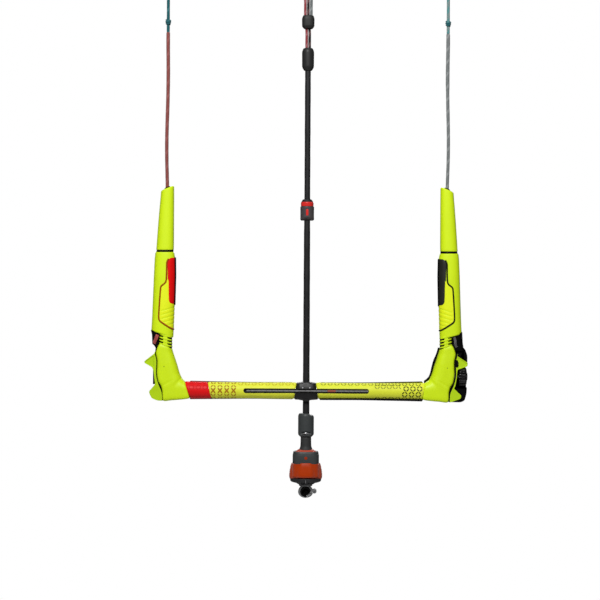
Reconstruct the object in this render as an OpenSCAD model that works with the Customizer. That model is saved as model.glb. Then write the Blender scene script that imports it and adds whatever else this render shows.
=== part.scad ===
// Kitesurf control bar.
// A bar with a trim unit in its right end, a float and a leader line at each end, on a sheathed depower line
// that runs from a push-away release, through a swivel and the bar, to the line covers at the top.
// Millimetres. X runs along the bar, +Z towards the kite, -Y towards the rider's eye.
// The origin is the centre of the eye under the release.

/* [Bar] */
// Height of the bar's axis above the eye
bar_height = 162; // [160:1:170]
// Diameter of the grips
grip_d = 27; // [26:0.5:28]
// Outer diameter of the bar tubes
tube_d = 19; // [18:0.5:19.5]
// Side of the rounded square centre block
centre_size = 30; // [29:0.5:32]
// Height of the centre block, whose top lies below the grips', and how far its middle is below the bar's axis
block_height = 26.8; // [26:0.2:29]
block_drop = 0.6;
// Distance from the centre to the seam of the grips and the bar ends
seam_x = 188; // [186:1:189]
// Front to back depth of the bar ends
end_depth = 30; // [28:1:32]
// Half length of the slot that shows the trim line
slot_half = 100; // [90:1:102]

/* [Lines] */
// Diameter of the sheathed depower line
line_d = 10; // [9:0.5:10]
// Diameter of the leader lines
leader_d = 6; // [5:0.5:6.5]
// Distance of each leader line from the centre
leader_x = 224; // [223:0.5:225]
// Diameter of the pigtails above the leader lines
pigtail_d = 5; // [4:0.5:5]
// Diameter of the front lines and the safety line
front_d = 4.4; // [4:0.2:4.6]

/* [Floats] */
// Height of the gap between the lower and the upper float
float_gap_z = 384; // [380:1:390]
// Height of the upper float's top
float_top_z = 485; // [480:1:490]

/* [Stopper] */
// Height of the stopper's lower face
stopper_z = 434; // [430:1:440]
// Diameter of the stopper
stopper_d = 22; // [20:0.5:24]

/* [Release] */
// Width of the upper housing of the release
housing_w = 42; // [40:0.5:43]
// Width of the push-away sleeve at its foot
sleeve_w = 52; // [50:0.5:54]
// Radius of the eye's bore
eye_r = 5.5; // [5:0.1:6]

/* [Trim unit] */
// Diameter of the trim knob
knob_d = 31; // [28:0.5:32]
// Radius of the spool's core
spool_r = 8; // [7:0.5:8]
// Height of the knob's axis above the bar's axis
knob_z = 24; // [23:0.5:25]

/* [Motion] */
// Angle by which the bar steers to each side
steer_angle = 25; // [15:1:25]

/* [Hidden] */
$fn = 64;
clear = 0.3;
tube_wall = 1.7;
ball_r = 9;
seat_r = ball_r + 0.2;
line_r = line_d / 2;
grip_r = grip_d / 2;
tube_r = tube_d / 2;
knob_r = knob_d / 2;
slot_r = 3.5;
slot_floor = 9.8;
floor_t = 0.4;
trim_cord_r = 1.1;
trim_cord_y = -12.1;
mark_x = [34, 47];
fit = 0.05;

// Heights along the depower line
base_z = [13.6, 22];
sleeve_z = [22.6, 45.4];
collar_z = [63, 68.5];
boot_z = [68.5, 88];
swivel_z = [89.5, 125];
line_z = [109, 695];
junction_z = [674, 710];
split_z = [741, 762];

// The flexible necks between the bar ends and the floats
neck_top = 252;
neck_foot = bar_height + 70;

// Routes of the cords. The leader lines and pigtails give the distance outwards from the leader line's place,
// and the height. The lines at the top give X, Y and Z.
leader_route = [
    [0, 252], [0, 266], [0, 282], [0, 298], [0, 314], [0, 330], [0, 346], [0, 362], [0, 378], [0, 394],
    [0, 410], [0, 426], [0, 442], [0, 458], [0, 474], [0, 490], [0.4, 506], [0.9, 522], [1.2, 538],
    [1.3, 554], [1.2, 570], [0.9, 586], [0.5, 602], [0.1, 618], [-0.2, 634], [-0.4, 650], [-0.5, 666],
    [-0.4, 682], [-0.2, 698], [0, 714], [0, 734]
];
pigtail_route = [
    [0, 734], [0, 744], [0, 754], [0, 764], [0, 774], [0, 784], [0, 794], [-0.6, 802], [-3, 810],
    [-6.6, 818], [-8.6, 827], [-6.4, 836], [-0.6, 842], [6, 842], [11.8, 836], [14, 827], [12, 818],
    [8.4, 810], [6, 802], [5.4, 794]
];
red_route = [
    [-2.3, 0, 695], [-2.4, 0, 705], [-2.4, 0, 715], [-2.4, 0, 725], [-2.4, 0, 735], [-3, 0, 743],
    [-4.2, 0, 751], [-4.8, 0, 759], [-4.8, 0, 768], [-4.8, 0, 778], [-5, 0, 788], [-6, 0, 797]
];
black_route = [
    [2.3, 0, 695], [2.4, 0, 705], [2.4, 0, 715], [2.4, 0, 725], [2.4, 0, 735], [1.6, 0, 743],
    [0.2, 0, 751], [0, 0, 759], [0, 0, 768], [0, 0, 778], [0, 0, 788], [0, 0, 797]
];
grey_route = [
    [4.9, 0, 753], [4.8, 0, 760], [4.8, 0, 768], [4.8, 0, 778], [5, 0, 788], [6, 0, 797]
];
// The eye at the end of each line at the top: Y, and height above the route's last point
eye_route = [
    [-0.8, 8], [-3.6, 15], [-7.2, 22], [-8.6, 30], [-6, 38], [-0.8, 42.4], [5.6, 42.4], [10.8, 38],
    [13.4, 30], [12, 22], [8.4, 15], [5.6, 8], [4.8, 0]
];
trim_route = [
    [229, 0, 14.9], [219, 0, 10], [211, 0, 4.5], [204, 0, 1], [196, 0, 0], [170, 0, 0], [140, 0, 0],
    [118, 0, 0], [112, -2, 0], [106, -6, 0], [100, -10.5, 0], [96, trim_cord_y, 0], [80, trim_cord_y, 0],
    [40, trim_cord_y, 0], [0, trim_cord_y, 0], [-40, trim_cord_y, 0], [-80, trim_cord_y, 0],
    [-95, trim_cord_y, 0]
];

// Outlines of the left bar end, drawn as for the right: X, and height above the bar's axis
inner_edge = [[197.6, 17.5], [202.4, 26], [206.4, 40], [211.4, 55], [214.2, 65], [214.8, 70]];
seam_edge = [[239, 70], [240.4, 59], [238.2, 47], [238.6, 26], [235.6, 11.5], [229.8, -3], [228.6, -17]];
under_edge = [[214, -16.4], [200, -15]];
post_edge = [
    [240.9, 62.5], [243, 58.5], [251, 53], [258, 46.5], [257.4, 42.5], [249.5, 37.5], [245.2, 32], [243.2, 24],
    [242.6, 15], [243, 8], [246.5, 3], [250.4, -2.5], [249.8, -7.5], [246, -13], [236, -16.8], [229.2, -17]
];
// Inner edge of the black cover at the back of the right bar end
back_edge = [
    [189.4, 16.2], [193.5, 19.5], [197, 23.5], [199.4, 30], [200.8, 39], [203, 50], [207, 57], [209.7, 63],
    [211.6, 70]
];
// How much further in the right bar end lies, to make room for the trim unit
right_in = 2;
// Where each grip meets its bar end: X at 13.5 above and at 13.5 below the axis
meet_h = 13.5;
left_meet = [seam_x + 5.8, seam_x - 2.4];
right_meet = [seam_x + 1.6, seam_x - 2.4];
// Front face of the back cover
back_y = 9;

// ---- Curves and sweeps ----

function unit(v) = v / norm(v);

// One point of a Catmull-Rom curve between b and c
function curve_point(a, b, c, d, t) =
    0.5 * (2 * b + (c - a) * t + (2 * a - 5 * b + 4 * c - d) * t * t + (3 * b - a - 3 * c + d) * t * t * t);

// A smooth open curve through the given points
function smooth(p, steps = 4) = concat(
    [for (i = [0:len(p) - 2], j = [0:steps - 1])
        curve_point(p[max(i - 1, 0)], p[i], p[i + 1], p[min(i + 2, len(p) - 1)], j / steps)],
    [p[len(p) - 1]]);

// A rounded rectangle with soft sides, as a superellipse
function soft_rect(w, d, power = 3, steps = 48) = [
    for (i = [0:steps - 1])
        let (c = cos(360 * i / steps), s = sin(360 * i / steps))
            [w / 2 * sign(c) * pow(abs(c), 2 / power), d / 2 * sign(s) * pow(abs(s), 2 / power)]];

// A slot with round ends, about the origin
function stadium(half, r, steps = 12) = [
    for (end = [0, 1], i = [0:steps])
        let (a = -90 + 180 * end + 180 * i / steps)
            [(end == 0 ? half - r : r - half) + r * cos(a), r * sin(a)]];

// A round cord swept along a path; ref is a direction that the path never runs in
module cord_along(path, r, sides = 8, ref = [0, 1, 0]) {
    last = len(path) - 1;
    rings = [for (i = [0:last])
        let (t = unit(path[min(i + 1, last)] - path[max(i - 1, 0)]), u = unit(cross(ref, t)), v = cross(t, u))
            for (k = [0:sides - 1]) path[i] + r * (cos(360 * k / sides) * u + sin(360 * k / sides) * v)];
    walls = [for (i = [0:last - 1], k = [0:sides - 1])
        let (next = (k + 1) % sides)
            [i * sides + k, (i + 1) * sides + k, (i + 1) * sides + next, i * sides + next]];
    caps = [[for (k = [0:sides - 1]) k], [for (k = [sides - 1:-1:0]) last * sides + k]];
    polyhedron(points = rings, faces = concat(walls, caps), convexity = 6);
}

// A coil spring about +Z, from height 0
module coil(r, wire, height, turns, steps = 12) {
    path = [for (i = [0:turns * steps])
        [r * cos(360 * i / steps), r * sin(360 * i / steps), wire + (height - 2 * wire) * i / (turns * steps)]];
    cord_along(path, wire, 6, [0, 0, 1]);
}

// A round rod from p to q
module rod(p, q, r) {
    d = q - p;
    translate(p)
        rotate([0, acos(d.z / norm(d)), atan2(d.y, d.x)])
            cylinder(h = norm(d), r = r);
}

// A cylinder along +X from x0 to x1
module x_rod(x0, x1, r) {
    translate([x0, 0, 0]) rotate([0, 90, 0]) cylinder(h = x1 - x0, r = r);
}

// An outline in X and Z, given thickness from y0 to y1
module side_plate(outline, y0, y1) {
    translate([0, y1, 0]) rotate([90, 0, 0]) linear_extrude(y1 - y0) polygon(outline);
}

// A body of revolution about Z from pairs of radius and height
module turned(profile) {
    rotate_extrude() polygon(profile);
}

// A soft rectangular plate or block from z0 to z1
module soft_block(w, d, z0, z1) {
    translate([0, 0, z0]) linear_extrude(z1 - z0) polygon(soft_rect(w, d));
}

module at_bar() {
    translate([0, 0, bar_height]) children();
}

// The right-hand shape as it is, or mirrored to the left
module on_side(side) {
    if (side == "right") children();
    else mirror([1, 0, 0]) children();
}

// ---- Release and eye ----

module release_housing() {
    color([0.28, 0.3, 0.31]) difference() {
        union() {
            soft_block(housing_w, 34, sleeve_z[1] + 0.4, collar_z[0]);
            soft_block(37, 29, base_z[1], sleeve_z[1] + 1);
        }
        // Seat for the stem's foot and its shank
        translate([0, 0, 30]) cylinder(h = 10, r = 8);
        translate([0, 0, 39]) cylinder(h = 30, r = 4.2);
    }
}

module release_collar() {
    color([0.85, 0.25, 0.12])
        turned([[4.2, collar_z[0]], [18, collar_z[0]], [18.5, collar_z[0] + 1.5], [16, collar_z[0] + 4],
                [11.5, collar_z[1]], [4.2, collar_z[1]]]);
}

module release_base() {
    color([0.2, 0.2, 0.21]) {
        soft_block(50, 38, base_z[0] + 3.4, base_z[1]);
        soft_block(36, 28, base_z[0], base_z[0] + 3.5);
    }
}

// A wave spring: soft rings that stand on each other
module release_spring() {
    ring_h = 0.8;
    count = 8;
    pitch = (sleeve_z[1] - sleeve_z[0] - 4.6 - ring_h) / (count - 1);
    color([0.7, 0.7, 0.72]) for (i = [0:count - 1])
        translate([0, 0, sleeve_z[0] + 4 + i * pitch]) linear_extrude(ring_h) difference() {
            polygon(soft_rect(42, 34));
            polygon(soft_rect(38, 30));
        }
}

module release_sleeve() {
    bore_w = housing_w + 1.2;
    color([0.82, 0.2, 0.08]) difference() {
        union() {
            soft_block(sleeve_w, 42, sleeve_z[0], sleeve_z[0] + 13);
            soft_block(sleeve_w - 4, 39, sleeve_z[0] + 12.9, sleeve_z[1]);
        }
        soft_block(bore_w, 35.2, sleeve_z[0] + 3, sleeve_z[1] + 1);
        soft_block(37.8, 29.8, sleeve_z[0] - 1, sleeve_z[0] + 4);
    }
}

module swivel_boot() {
    color([0.24, 0.25, 0.25])
        turned([[4.2, boot_z[0]], [10.6, boot_z[0]], [8.8, boot_z[0] + 4], [8.3, boot_z[0] + 8],
                [8.3, boot_z[1] - 1], [7.8, boot_z[1]], [4.2, boot_z[1]]]);
}

module swivel_stem() {
    color([0.75, 0.76, 0.78]) {
        translate([0, 0, 30]) cylinder(h = 9, r = 8);
        translate([0, 0, 38]) cylinder(h = 62, r = 4.2);
        translate([0, 0, 97]) cylinder(h = 5, r = 8.6);
    }
}

module eye_stud() {
    color([0.6, 0.6, 0.6]) difference() {
        union() {
            translate([0, 0, 8]) cylinder(h = base_z[0] - 8, r = 10);
            translate([0, 0, 6.5]) cylinder(h = 1.6, r = 8);
        }
        rotate([90, 0, 0]) cylinder(h = 40, r = 12, center = true);
    }
}

// Sector of a ring about Y, from angle a0 to a1, seen from the front
module eye_arc(r0, r1, half_depth, a0, a1) {
    rotate([90, 0, 0]) rotate([0, 0, a0]) translate([0, 0, -half_depth])
        rotate_extrude(angle = a1 - a0) translate([r0, 0]) square([r1 - r0, 2 * half_depth]);
}

gate_at = [14, 0, 1.5];
gate_span = [-78, -2];

module eye_hook() {
    color([0.55, 0.56, 0.57]) difference() {
        union() {
            eye_arc(8, 12, 6, gate_span[1], 360 + gate_span[0]);
            translate(gate_at) rotate([90, 0, 0]) cylinder(h = 11.4, r = 3.5, center = true);
        }
        translate(gate_at) rotate([90, 0, 0]) cylinder(h = 6.4, r = 4.2, center = true);
        translate(gate_at) rotate([90, 0, 0]) cylinder(h = 20, r = 1.3, center = true);
    }
}

module eye_liner() {
    color([0.08, 0.08, 0.08]) eye_arc(eye_r, 8, 7, gate_span[1], 360 + gate_span[0]);
}

module eye_gate() {
    color([0.6, 0.61, 0.62]) difference() {
        union() {
            eye_arc(8.3, 12, 5.6, gate_span[0] + 2, gate_span[1] - 16);
            eye_arc(9.5, 11.7, 2.6, gate_span[1] - 17, gate_span[1] - 1.6);
            translate(gate_at) rotate([90, 0, 0]) cylinder(h = 5.6, r = 3.4, center = true);
        }
        translate(gate_at) rotate([90, 0, 0]) cylinder(h = 20, r = 1.3 + fit, center = true);
    }
}

module gate_pin() {
    color([0.8, 0.8, 0.82]) translate(gate_at) rotate([90, 0, 0]) cylinder(h = 12.4, r = 1.3, center = true);
}

// ---- Swivel, depower line and line covers ----

module swivel_housing() {
    z0 = swivel_z[0];
    z1 = swivel_z[1];
    color([0.28, 0.3, 0.31]) difference() {
        turned([[4.2 + fit, z0], [9.6, z0], [13.2, z0 + 4.5], [13.2, z1 - 5], [11.5, z1 - 1.5], [9, z1], [0, z1],
                [0, 104], [9.4, 104], [9.4, 95], [4.2 + fit, 95]]);
        translate([0, 0, line_z[0]]) cylinder(h = 40, r = line_r);
    }
}

module depower_line() {
    color([0.15, 0.15, 0.15]) translate([0, 0, line_z[0]]) cylinder(h = line_z[1] - line_z[0], r = line_r);
}

module junction_cover() {
    z0 = junction_z[0];
    z1 = junction_z[1];
    color([0.18, 0.18, 0.18])
        turned([[line_r + 0.1, z0], [6.5, z0], [9.6, z0 + 4.5], [9.6, z1 - 3.5], [7, z1], [5.2, z1],
                [5.2, z1 - 2], [8, z1 - 4], [8, z0 + 6], [line_r + 0.1, z0 + 3]]);
}

module split_cover() {
    z0 = split_z[0];
    z1 = split_z[1];
    color([0.2, 0.2, 0.2])
        turned([[5.4, z0], [7.5, z0], [10, z0 + 3.5], [10, z1 - 4], [8.4, z1], [7.4, z1],
                [7.4, z1 - 1.5], [8.4, z1 - 4], [8.4, z0 + 4], [5.4, z0 + 1.5]]);
}

// A line at the top with its eye, which lies in the plane of Y and Z
module front_line(route) {
    end = route[len(route) - 1];
    eye = [for (p = eye_route) [end.x, p.x, end.z + p.y]];
    cord_along(concat(route, eye), front_d / 2, 8, [1, 0, 0]);
}

module red_front_line() {
    color([0.65, 0.15, 0.15]) front_line(red_route);
}

module black_safety_line() {
    color([0.08, 0.08, 0.08]) front_line(black_route);
}

module grey_front_line() {
    color([0.6, 0.62, 0.62]) front_line(grey_route);
}

// ---- Stopper ----

ring_press = 2.5;
stopper_r = stopper_d / 2;

module stopper_body() {
    color([0.25, 0.25, 0.26]) difference() {
        turned([[line_r + clear, stopper_z], [stopper_r - 3, stopper_z], [stopper_r, stopper_z + 2],
                [stopper_r, stopper_z + 20], [8, stopper_z + 20], [8, stopper_z + 26],
                [line_r + clear, stopper_z + 26]]);
        // Pocket that the spring stands in
        translate([0, 0, stopper_z + 15]) difference() {
            cylinder(h = 12, r = 7.45);
            cylinder(h = 12, r = 5.95);
        }
    }
}

module stopper_ring() {
    z0 = stopper_z + 20 + ring_press + 0.2;
    color([0.85, 0.12, 0.1])
        turned([[8 + clear, z0], [stopper_r, z0], [stopper_r, z0 + 6], [stopper_r - 3, z0 + 9.5],
                [line_r + clear, z0 + 9.5], [line_r + clear, z0 + 7], [8 + clear, z0 + 7]]);
}

module stopper_spring() {
    color([0.7, 0.7, 0.72]) translate([0, 0, stopper_z + 15]) coil(6.7, 0.45, 14.6, 5);
}

// ---- Bar ----

// Half width of the steering slot at a height from the bar's axis
function steer_half(h) = line_r / cos(steer_angle) + h * tan(steer_angle) + clear;

module line_bushing() {
    color([0.75, 0.76, 0.78]) at_bar() difference() {
        intersection() {
            sphere(r = ball_r);
            cube([20, 20, 9], center = true);
        }
        cylinder(h = 20, r = line_r + 0.25, center = true);
    }
}

// The passage of the depower line through the bar, with room to steer
module steering_slot(top = 17) {
    w = steer_half(top);
    side_plate([[-w, top], [-steer_half(0), 0], [-w, -top], [w, -top], [steer_half(0), 0], [w, top]],
               -line_r - clear, line_r + clear);
    sphere(r = seat_r);
}

module slot_cut(r, floor_y) {
    side_plate(stadium(slot_half, r), -20, -floor_y);
}

// The hole by which the trim line comes out of the tube
module trim_line_hole() {
    rod([108, -4.5, 0], [96, -13.5, 0], 2.4);
}

module centre_block() {
    color([0.16, 0.16, 0.17]) at_bar() difference() {
        intersection() {
            rotate([90, 0, 90]) linear_extrude(60, center = true)
                translate([0, -block_drop]) polygon(soft_rect(centre_size, block_height, 2.8));
            side_plate([[-20, -16], [-15.5, 16], [15.5, 16], [20, -16]], -20, 20);
        }
        steering_slot();
        slot_cut(slot_r, slot_floor);
        for (side = [-1, 1]) {
            translate([side * 21.75, 0, 0]) rotate([0, 90, 0])
                cylinder(h = 16, r = tube_r, center = true);
            translate([side * 5.7, -20, 5.4]) rotate([-90, 0, 0]) cylinder(h = 9, r = 1.2);
        }
    }
}

module bar_tubes() {
    color([0.7, 0.7, 0.72]) at_bar() difference() {
        for (side = ["left", "right"]) on_side(side) difference() {
            x_rod(13.9, 205, tube_r);
            x_rod(13, 206, tube_r - tube_wall);
        }
        trim_line_hole();
    }
}

// X of a grip's slanted outer end at 15 above and at 15 below the axis, a hair short of its bar end
function grip_end(meet) =
    let (lean = (meet[0] - meet[1]) / (2 * meet_h) * (15 - meet_h)) [meet[0] + lean - 0.2, meet[1] - lean - 0.2];

// A grip sleeve between two slanted ends: x at the top and at the underside of each end
module grip(end_a, end_b) {
    at_bar() difference() {
        intersection() {
            x_rod(min(end_a.x, end_a.y, end_b.x, end_b.y) - 1, max(end_a.x, end_a.y, end_b.x, end_b.y) + 1, grip_r);
            side_plate([[end_a.y, -15], [end_a.x, 15], [end_b.x, 15], [end_b.y, -15]], -20, 20);
        }
        x_rod(-220, 220, tube_r);
        slot_cut(slot_r, slot_floor);
        trim_line_hole();
    }
}

module left_grip() {
    color([0.92, 0.95, 0.2]) grip([-157, -151], [-15.6, -20.1]);
}

module red_grip_band() {
    color([0.8, 0.08, 0.08]) grip(-grip_end(left_meet), [-157.2, -151.2]);
}

module right_grip() {
    color([0.92, 0.95, 0.2]) grip([15.6, 20.1], grip_end(right_meet));
}

module slot_liner() {
    color([0.05, 0.05, 0.05]) at_bar() difference() {
        side_plate(stadium(slot_half, slot_r), -13.2, -slot_floor);
        side_plate(stadium(slot_half - 1.1, slot_r - 1.1), -20, -slot_floor - floor_t);
        trim_line_hole();
    }
}

module trim_line() {
    color([0.55, 0.55, 0.55]) at_bar() cord_along(trim_route, trim_cord_r, 8);
}

module trim_mark() {
    color([0.8, 0.2, 0.12]) at_bar() translate([0, trim_cord_y, 0]) difference() {
        x_rod(mark_x[0], mark_x[1], 1.7);
        x_rod(mark_x[0] - 1, mark_x[1] + 1, trim_cord_r + 0.1);
    }
}

// A screw whose head faces +Z, with its head's top at the origin
module screw(head_r, shank_r, length) {
    difference() {
        union() {
            translate([0, 0, -1.4]) cylinder(h = 1.4, r = head_r);
            translate([0, 0, -length]) cylinder(h = length, r = shank_r);
        }
        translate([0, 0, -0.7]) cylinder(h = 1, r = head_r * 0.5, $fn = 6);
    }
}

// Places of the screws at the back of each bar end: X, and height above the bar's axis
end_screws = [[212, 40], [214, -9], [224, 58]];

module bar_screws() {
    color([0.7, 0.7, 0.72]) at_bar() {
        for (side = [-1, 1])
            translate([side * 5.7, -14.2, 5.4]) rotate([90, 0, 0]) screw(1.2, 0.9, 3.2);
        for (side = ["left", "right"], p = end_screws) on_side(side)
            translate([p.x, end_depth / 2, p.y]) rotate([-90, 0, 0]) screw(2.6, 1.5, 12);
    }
}

// ---- Bar ends ----

// An outline moved along X
function moved(outline, dx) = [for (p = outline) p + [dx, 0]];

// Outline of a bar end from its inner edge, its seam with the post and its places on the grip
function end_outline(inner, seam, meet) = concat(
    smooth(concat([[meet[0], meet_h]], inner)), smooth(seam),
    smooth(concat([seam[len(seam) - 1]], under_edge, [[meet[1], -meet_h]])));

// Outline of a winding post that follows the seam at a small gap
function post_outline(edge, seam) =
    let (curve = smooth(seam))
        concat(smooth(edge, 3), [for (i = [len(curve) - 1:-1:0]) if (abs(curve[i].y - 22.5) < 39) curve[i] + [0.3, 0]]);

right_seam = moved(seam_edge, -right_in);
left_outline = end_outline(inner_edge, seam_edge, left_meet);
right_outline = end_outline(moved(inner_edge, -right_in), right_seam, right_meet);
back_outline = end_outline(back_edge, right_seam, right_meet);

// Takes the screws' holes and the tube's socket out of a bar end
module end_holes() {
    x_rod(180, 205.4, tube_r);
    for (p = end_screws)
        translate([p.x, end_depth / 2, p.y]) rotate([90, 0, 0]) {
            cylinder(h = 14, r = 1.5);
            translate([0, 0, -1]) cylinder(h = 2.4, r = 2.6);
        }
}

module left_bar_end() {
    color([0.78, 0.9, 0.1]) at_bar() on_side("left") difference() {
        side_plate(left_outline, -end_depth / 2, end_depth / 2);
        end_holes();
    }
}

module right_bar_end() {
    color([0.78, 0.9, 0.1]) at_bar() difference() {
        side_plate(right_outline, -end_depth / 2, back_y);
        end_holes();
        // Room for the spool, its axle and the line that leaves it
        translate([0, 0, knob_z]) {
            x_rod(219, 245, 12.2);
            x_rod(212, 220, 3.1);
        }
        rod([226, 0, 14.2], [203, 0, 0.4], 2.7);
    }
}

module right_back_cover() {
    color([0.06, 0.06, 0.06]) at_bar() difference() {
        side_plate(back_outline, back_y + 0.1, end_depth / 2);
        end_holes();
        translate([0, 0, knob_z]) x_rod(219, 245, 12.2);
    }
}

module left_winding_post() {
    color([0.75, 0.88, 0.1]) at_bar() on_side("left") difference() {
        side_plate(post_outline(post_edge, seam_edge), -end_depth / 2, end_depth / 2);
        translate([245, 0, 23]) cube([10, 24.4, 27], center = true);
    }
}

module right_winding_post() {
    color([0.75, 0.88, 0.1]) at_bar() difference() {
        side_plate(post_outline(moved(post_edge, -right_in), right_seam), -end_depth / 2, -5);
        // Room for the knob and the spool
        translate([hub_x[1] - 1, -20, knob_z - knob_r - 1.6]) cube([30, 20, 2 * knob_r + 3.2]);
        translate([0, 0, knob_z]) x_rod(225, 239.6, 12.2);
    }
}

module left_end_core() {
    color([0.06, 0.06, 0.06]) at_bar() on_side("left") {
        x_rod(188, 204.8, tube_r - tube_wall);
        translate([242.2, 0, 23]) cube([4, 24, 26.6], center = true);
    }
}

module right_end_core() {
    color([0.06, 0.06, 0.06]) at_bar() difference() {
        x_rod(188, 204.8, tube_r - tube_wall);
        x_rod(187, 206, 2.8);
    }
}

// ---- Trim unit ----

// Ends of the hub that joins the spool to the knob
hub_x = [223, 243.2];

housing_edge = [
    [228, -17], [247, -17.4], [253.5, -14.5], [256.5, -3], [257, 7], [242.4, 7], [242.4, 41], [257.5, 41],
    [257.5, 58], [253, 68], [251.5, 70.5], [238.2, 70.5], [239.6, 59], [237.4, 47], [237.8, 26], [234.8, 11.5],
    [229, -3]
];

module trim_housing() {
    color([0.05, 0.05, 0.05]) at_bar() difference() {
        side_plate(housing_edge, -4.7, 16);
        translate([0, 0, knob_z]) {
            x_rod(230, 250, 5.3);
            x_rod(230, 239.6, 12.2);
        }
    }
}

module trim_knob() {
    x0 = hub_x[1];
    x1 = 256;
    color([0.08, 0.08, 0.08]) at_bar() translate([0, 0, knob_z]) difference() {
        x_rod(x0, x1, knob_r);
        for (i = [0:13]) rotate([360 * i / 14, 0, 0]) translate([0, 0, knob_r + 1.6]) x_rod(x0 - 1, x1 + 1, 2.6);
        x_rod(248, x1 + 1, 6.3);
        x_rod(x0 - 1, 249, 3 + fit);
    }
}

module trim_axle() {
    color([0.75, 0.76, 0.78]) at_bar() translate([0, 0, knob_z]) x_rod(213, 248, 3);
}

module trim_spool() {
    color([0.35, 0.35, 0.36]) at_bar() translate([0, 0, knob_z]) difference() {
        union() {
            x_rod(hub_x[0], 236, spool_r - trim_cord_r - 0.1);
            x_rod(235, hub_x[1], 5);
            x_rod(222, 224, 10);
            x_rod(233, 235, 11);
            // Ratchet teeth beside the outer flange
            for (i = [0:11]) rotate([30 * i, 0, 0]) translate([235, -1.6, 6]) cube([3, 3.2, 4.6]);
        }
        x_rod(221, 245, 3 + fit);
    }
}

module click_spring() {
    color([0.8, 0.8, 0.82]) at_bar() translate([235.4, -2.4, knob_z - 11.9]) cube([2.4, 4.8, 0.6]);
}

module trim_button() {
    color([0.12, 0.12, 0.13]) at_bar() translate([0, 0, knob_z]) difference() {
        x_rod(251.4, 257.6, 6);
        translate([257.6 + 14.2, 0, 0]) sphere(r = 15);
    }
}

module button_spring() {
    color([0.7, 0.7, 0.72]) at_bar() translate([248, 0, knob_z]) rotate([0, 90, 0]) coil(4.2, 0.35, 3.4, 3);
}

// ---- Necks and floats ----

// The slit neck that joins a bar end to its float: a stack of ribs on a flexible core
module neck(inner_x, outer_x) {
    rib = 3.4;
    pitch = 4.8;
    color([0.78, 0.9, 0.1]) difference() {
        translate([inner_x, -12, neck_foot + 0.2]) cube([outer_x - inner_x, 24, neck_top - neck_foot - 6]);
        for (i = [0:2], x = [inner_x - 5, outer_x - 4])
            translate([x, -15, neck_foot + rib + i * pitch]) cube([9, 30, pitch - rib]);
    }
}

module boot(inner_x, outer_x) {
    color([0.04, 0.04, 0.04])
        translate([inner_x, -10, neck_foot + 0.8]) cube([outer_x - inner_x, 20, 19]);
}

module left_neck() {
    on_side("left") neck(214.5, 235.4);
}

module right_neck() {
    neck(213, 232.6);
}

module left_boot() {
    on_side("left") boot(235.8, 245.4);
}

module right_boot() {
    boot(233, 249.9);
}

// A thin soft slice of a float at height z, from x0 to x1
module slice(z, x0, x1, depth) {
    translate([(x0 + x1) / 2, 0, z]) linear_extrude(0.5) polygon(soft_rect(x1 - x0, depth, 2.4, 32));
}

module float_bore(r) {
    translate([leader_x, 0, 200]) cylinder(h = 400, r = r);
}

module float_lower() {
    top = float_gap_z - 2.5;
    color([0.78, 0.9, 0.1]) difference() {
        hull() {
            slice(243, 213, 249, 28);
            slice(330, 211.5, 245.5, 28);
            slice(top, 212, 243.2, 26);
        }
        float_bore(5);
        // Slanted foot, higher on the outside
        translate([leader_x, 0, 250.4]) rotate([0, -14, 0]) translate([0, 0, -20]) cube([90, 60, 40], center = true);
    }
}

module float_upper() {
    color([0.82, 0.94, 0.12]) difference() {
        hull() {
            slice(float_gap_z + 2, 213, 240, 24);
            slice(float_top_z - 30, 213, 235.5, 22);
            slice(float_top_z - 0.5, 213.5, 233.6, 19);
        }
        float_bore(5);
        translate([leader_x, 0, float_top_z - 3]) rotate([0, 18, 0]) translate([0, 0, 15])
            cube([60, 40, 30], center = true);
    }
}

module float_sleeve() {
    color([0.06, 0.06, 0.06]) difference() {
        union() {
            translate([leader_x, 0, 252.5]) cylinder(h = float_top_z - 252.5 - 6, r = 5);
            hull() {
                slice(float_gap_z - 1.9, 213.5, 241.2, 24);
                slice(float_gap_z + 1.3, 213.5, 240.2, 23.4);
            }
        }
        float_bore(leader_d / 2 + 0.2);
    }
}

// A cord in the plane of a leader line, from offsets outwards and heights
module side_cord(route, r) {
    cord_along([for (p = route) [leader_x + p.x, 0, p.y]], r, 8);
}

module left_float_lower() {
    on_side("left") float_lower();
}

module left_float_upper() {
    on_side("left") float_upper();
}

module left_float_sleeve() {
    on_side("left") float_sleeve();
}

module left_leader_line() {
    color([0.65, 0.25, 0.25]) on_side("left") side_cord(leader_route, leader_d / 2);
}

module left_pigtail() {
    color([0.1, 0.5, 0.55]) on_side("left") side_cord(pigtail_route, pigtail_d / 2);
}

module right_float_lower() {
    float_lower();
}

module right_float_upper() {
    float_upper();
}

module right_float_sleeve() {
    float_sleeve();
}

module right_leader_line() {
    color([0.6, 0.63, 0.63]) side_cord(leader_route, leader_d / 2);
}

module right_pigtail() {
    color([0.5, 0.75, 0.75]) side_cord(pigtail_route, pigtail_d / 2);
}

release_housing();
release_collar();
release_base();
release_spring();
release_sleeve();
swivel_boot();
swivel_stem();
eye_stud();
eye_hook();
eye_liner();
eye_gate();
gate_pin();
swivel_housing();
depower_line();
junction_cover();
split_cover();
red_front_line();
black_safety_line();
grey_front_line();
stopper_body();
stopper_ring();
stopper_spring();
line_bushing();
centre_block();
bar_tubes();
left_grip();
red_grip_band();
right_grip();
slot_liner();
trim_line();
trim_mark();
bar_screws();
left_bar_end();
left_end_core();
left_winding_post();
right_bar_end();
right_back_cover();
right_end_core();
right_winding_post();
trim_housing();
trim_knob();
trim_axle();
trim_spool();
click_spring();
trim_button();
button_spring();
left_neck();
left_boot();
right_neck();
right_boot();
left_float_lower();
left_float_upper();
left_float_sleeve();
left_leader_line();
left_pigtail();
right_float_lower();
right_float_upper();
right_float_sleeve();
right_leader_line();
right_pigtail();
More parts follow.
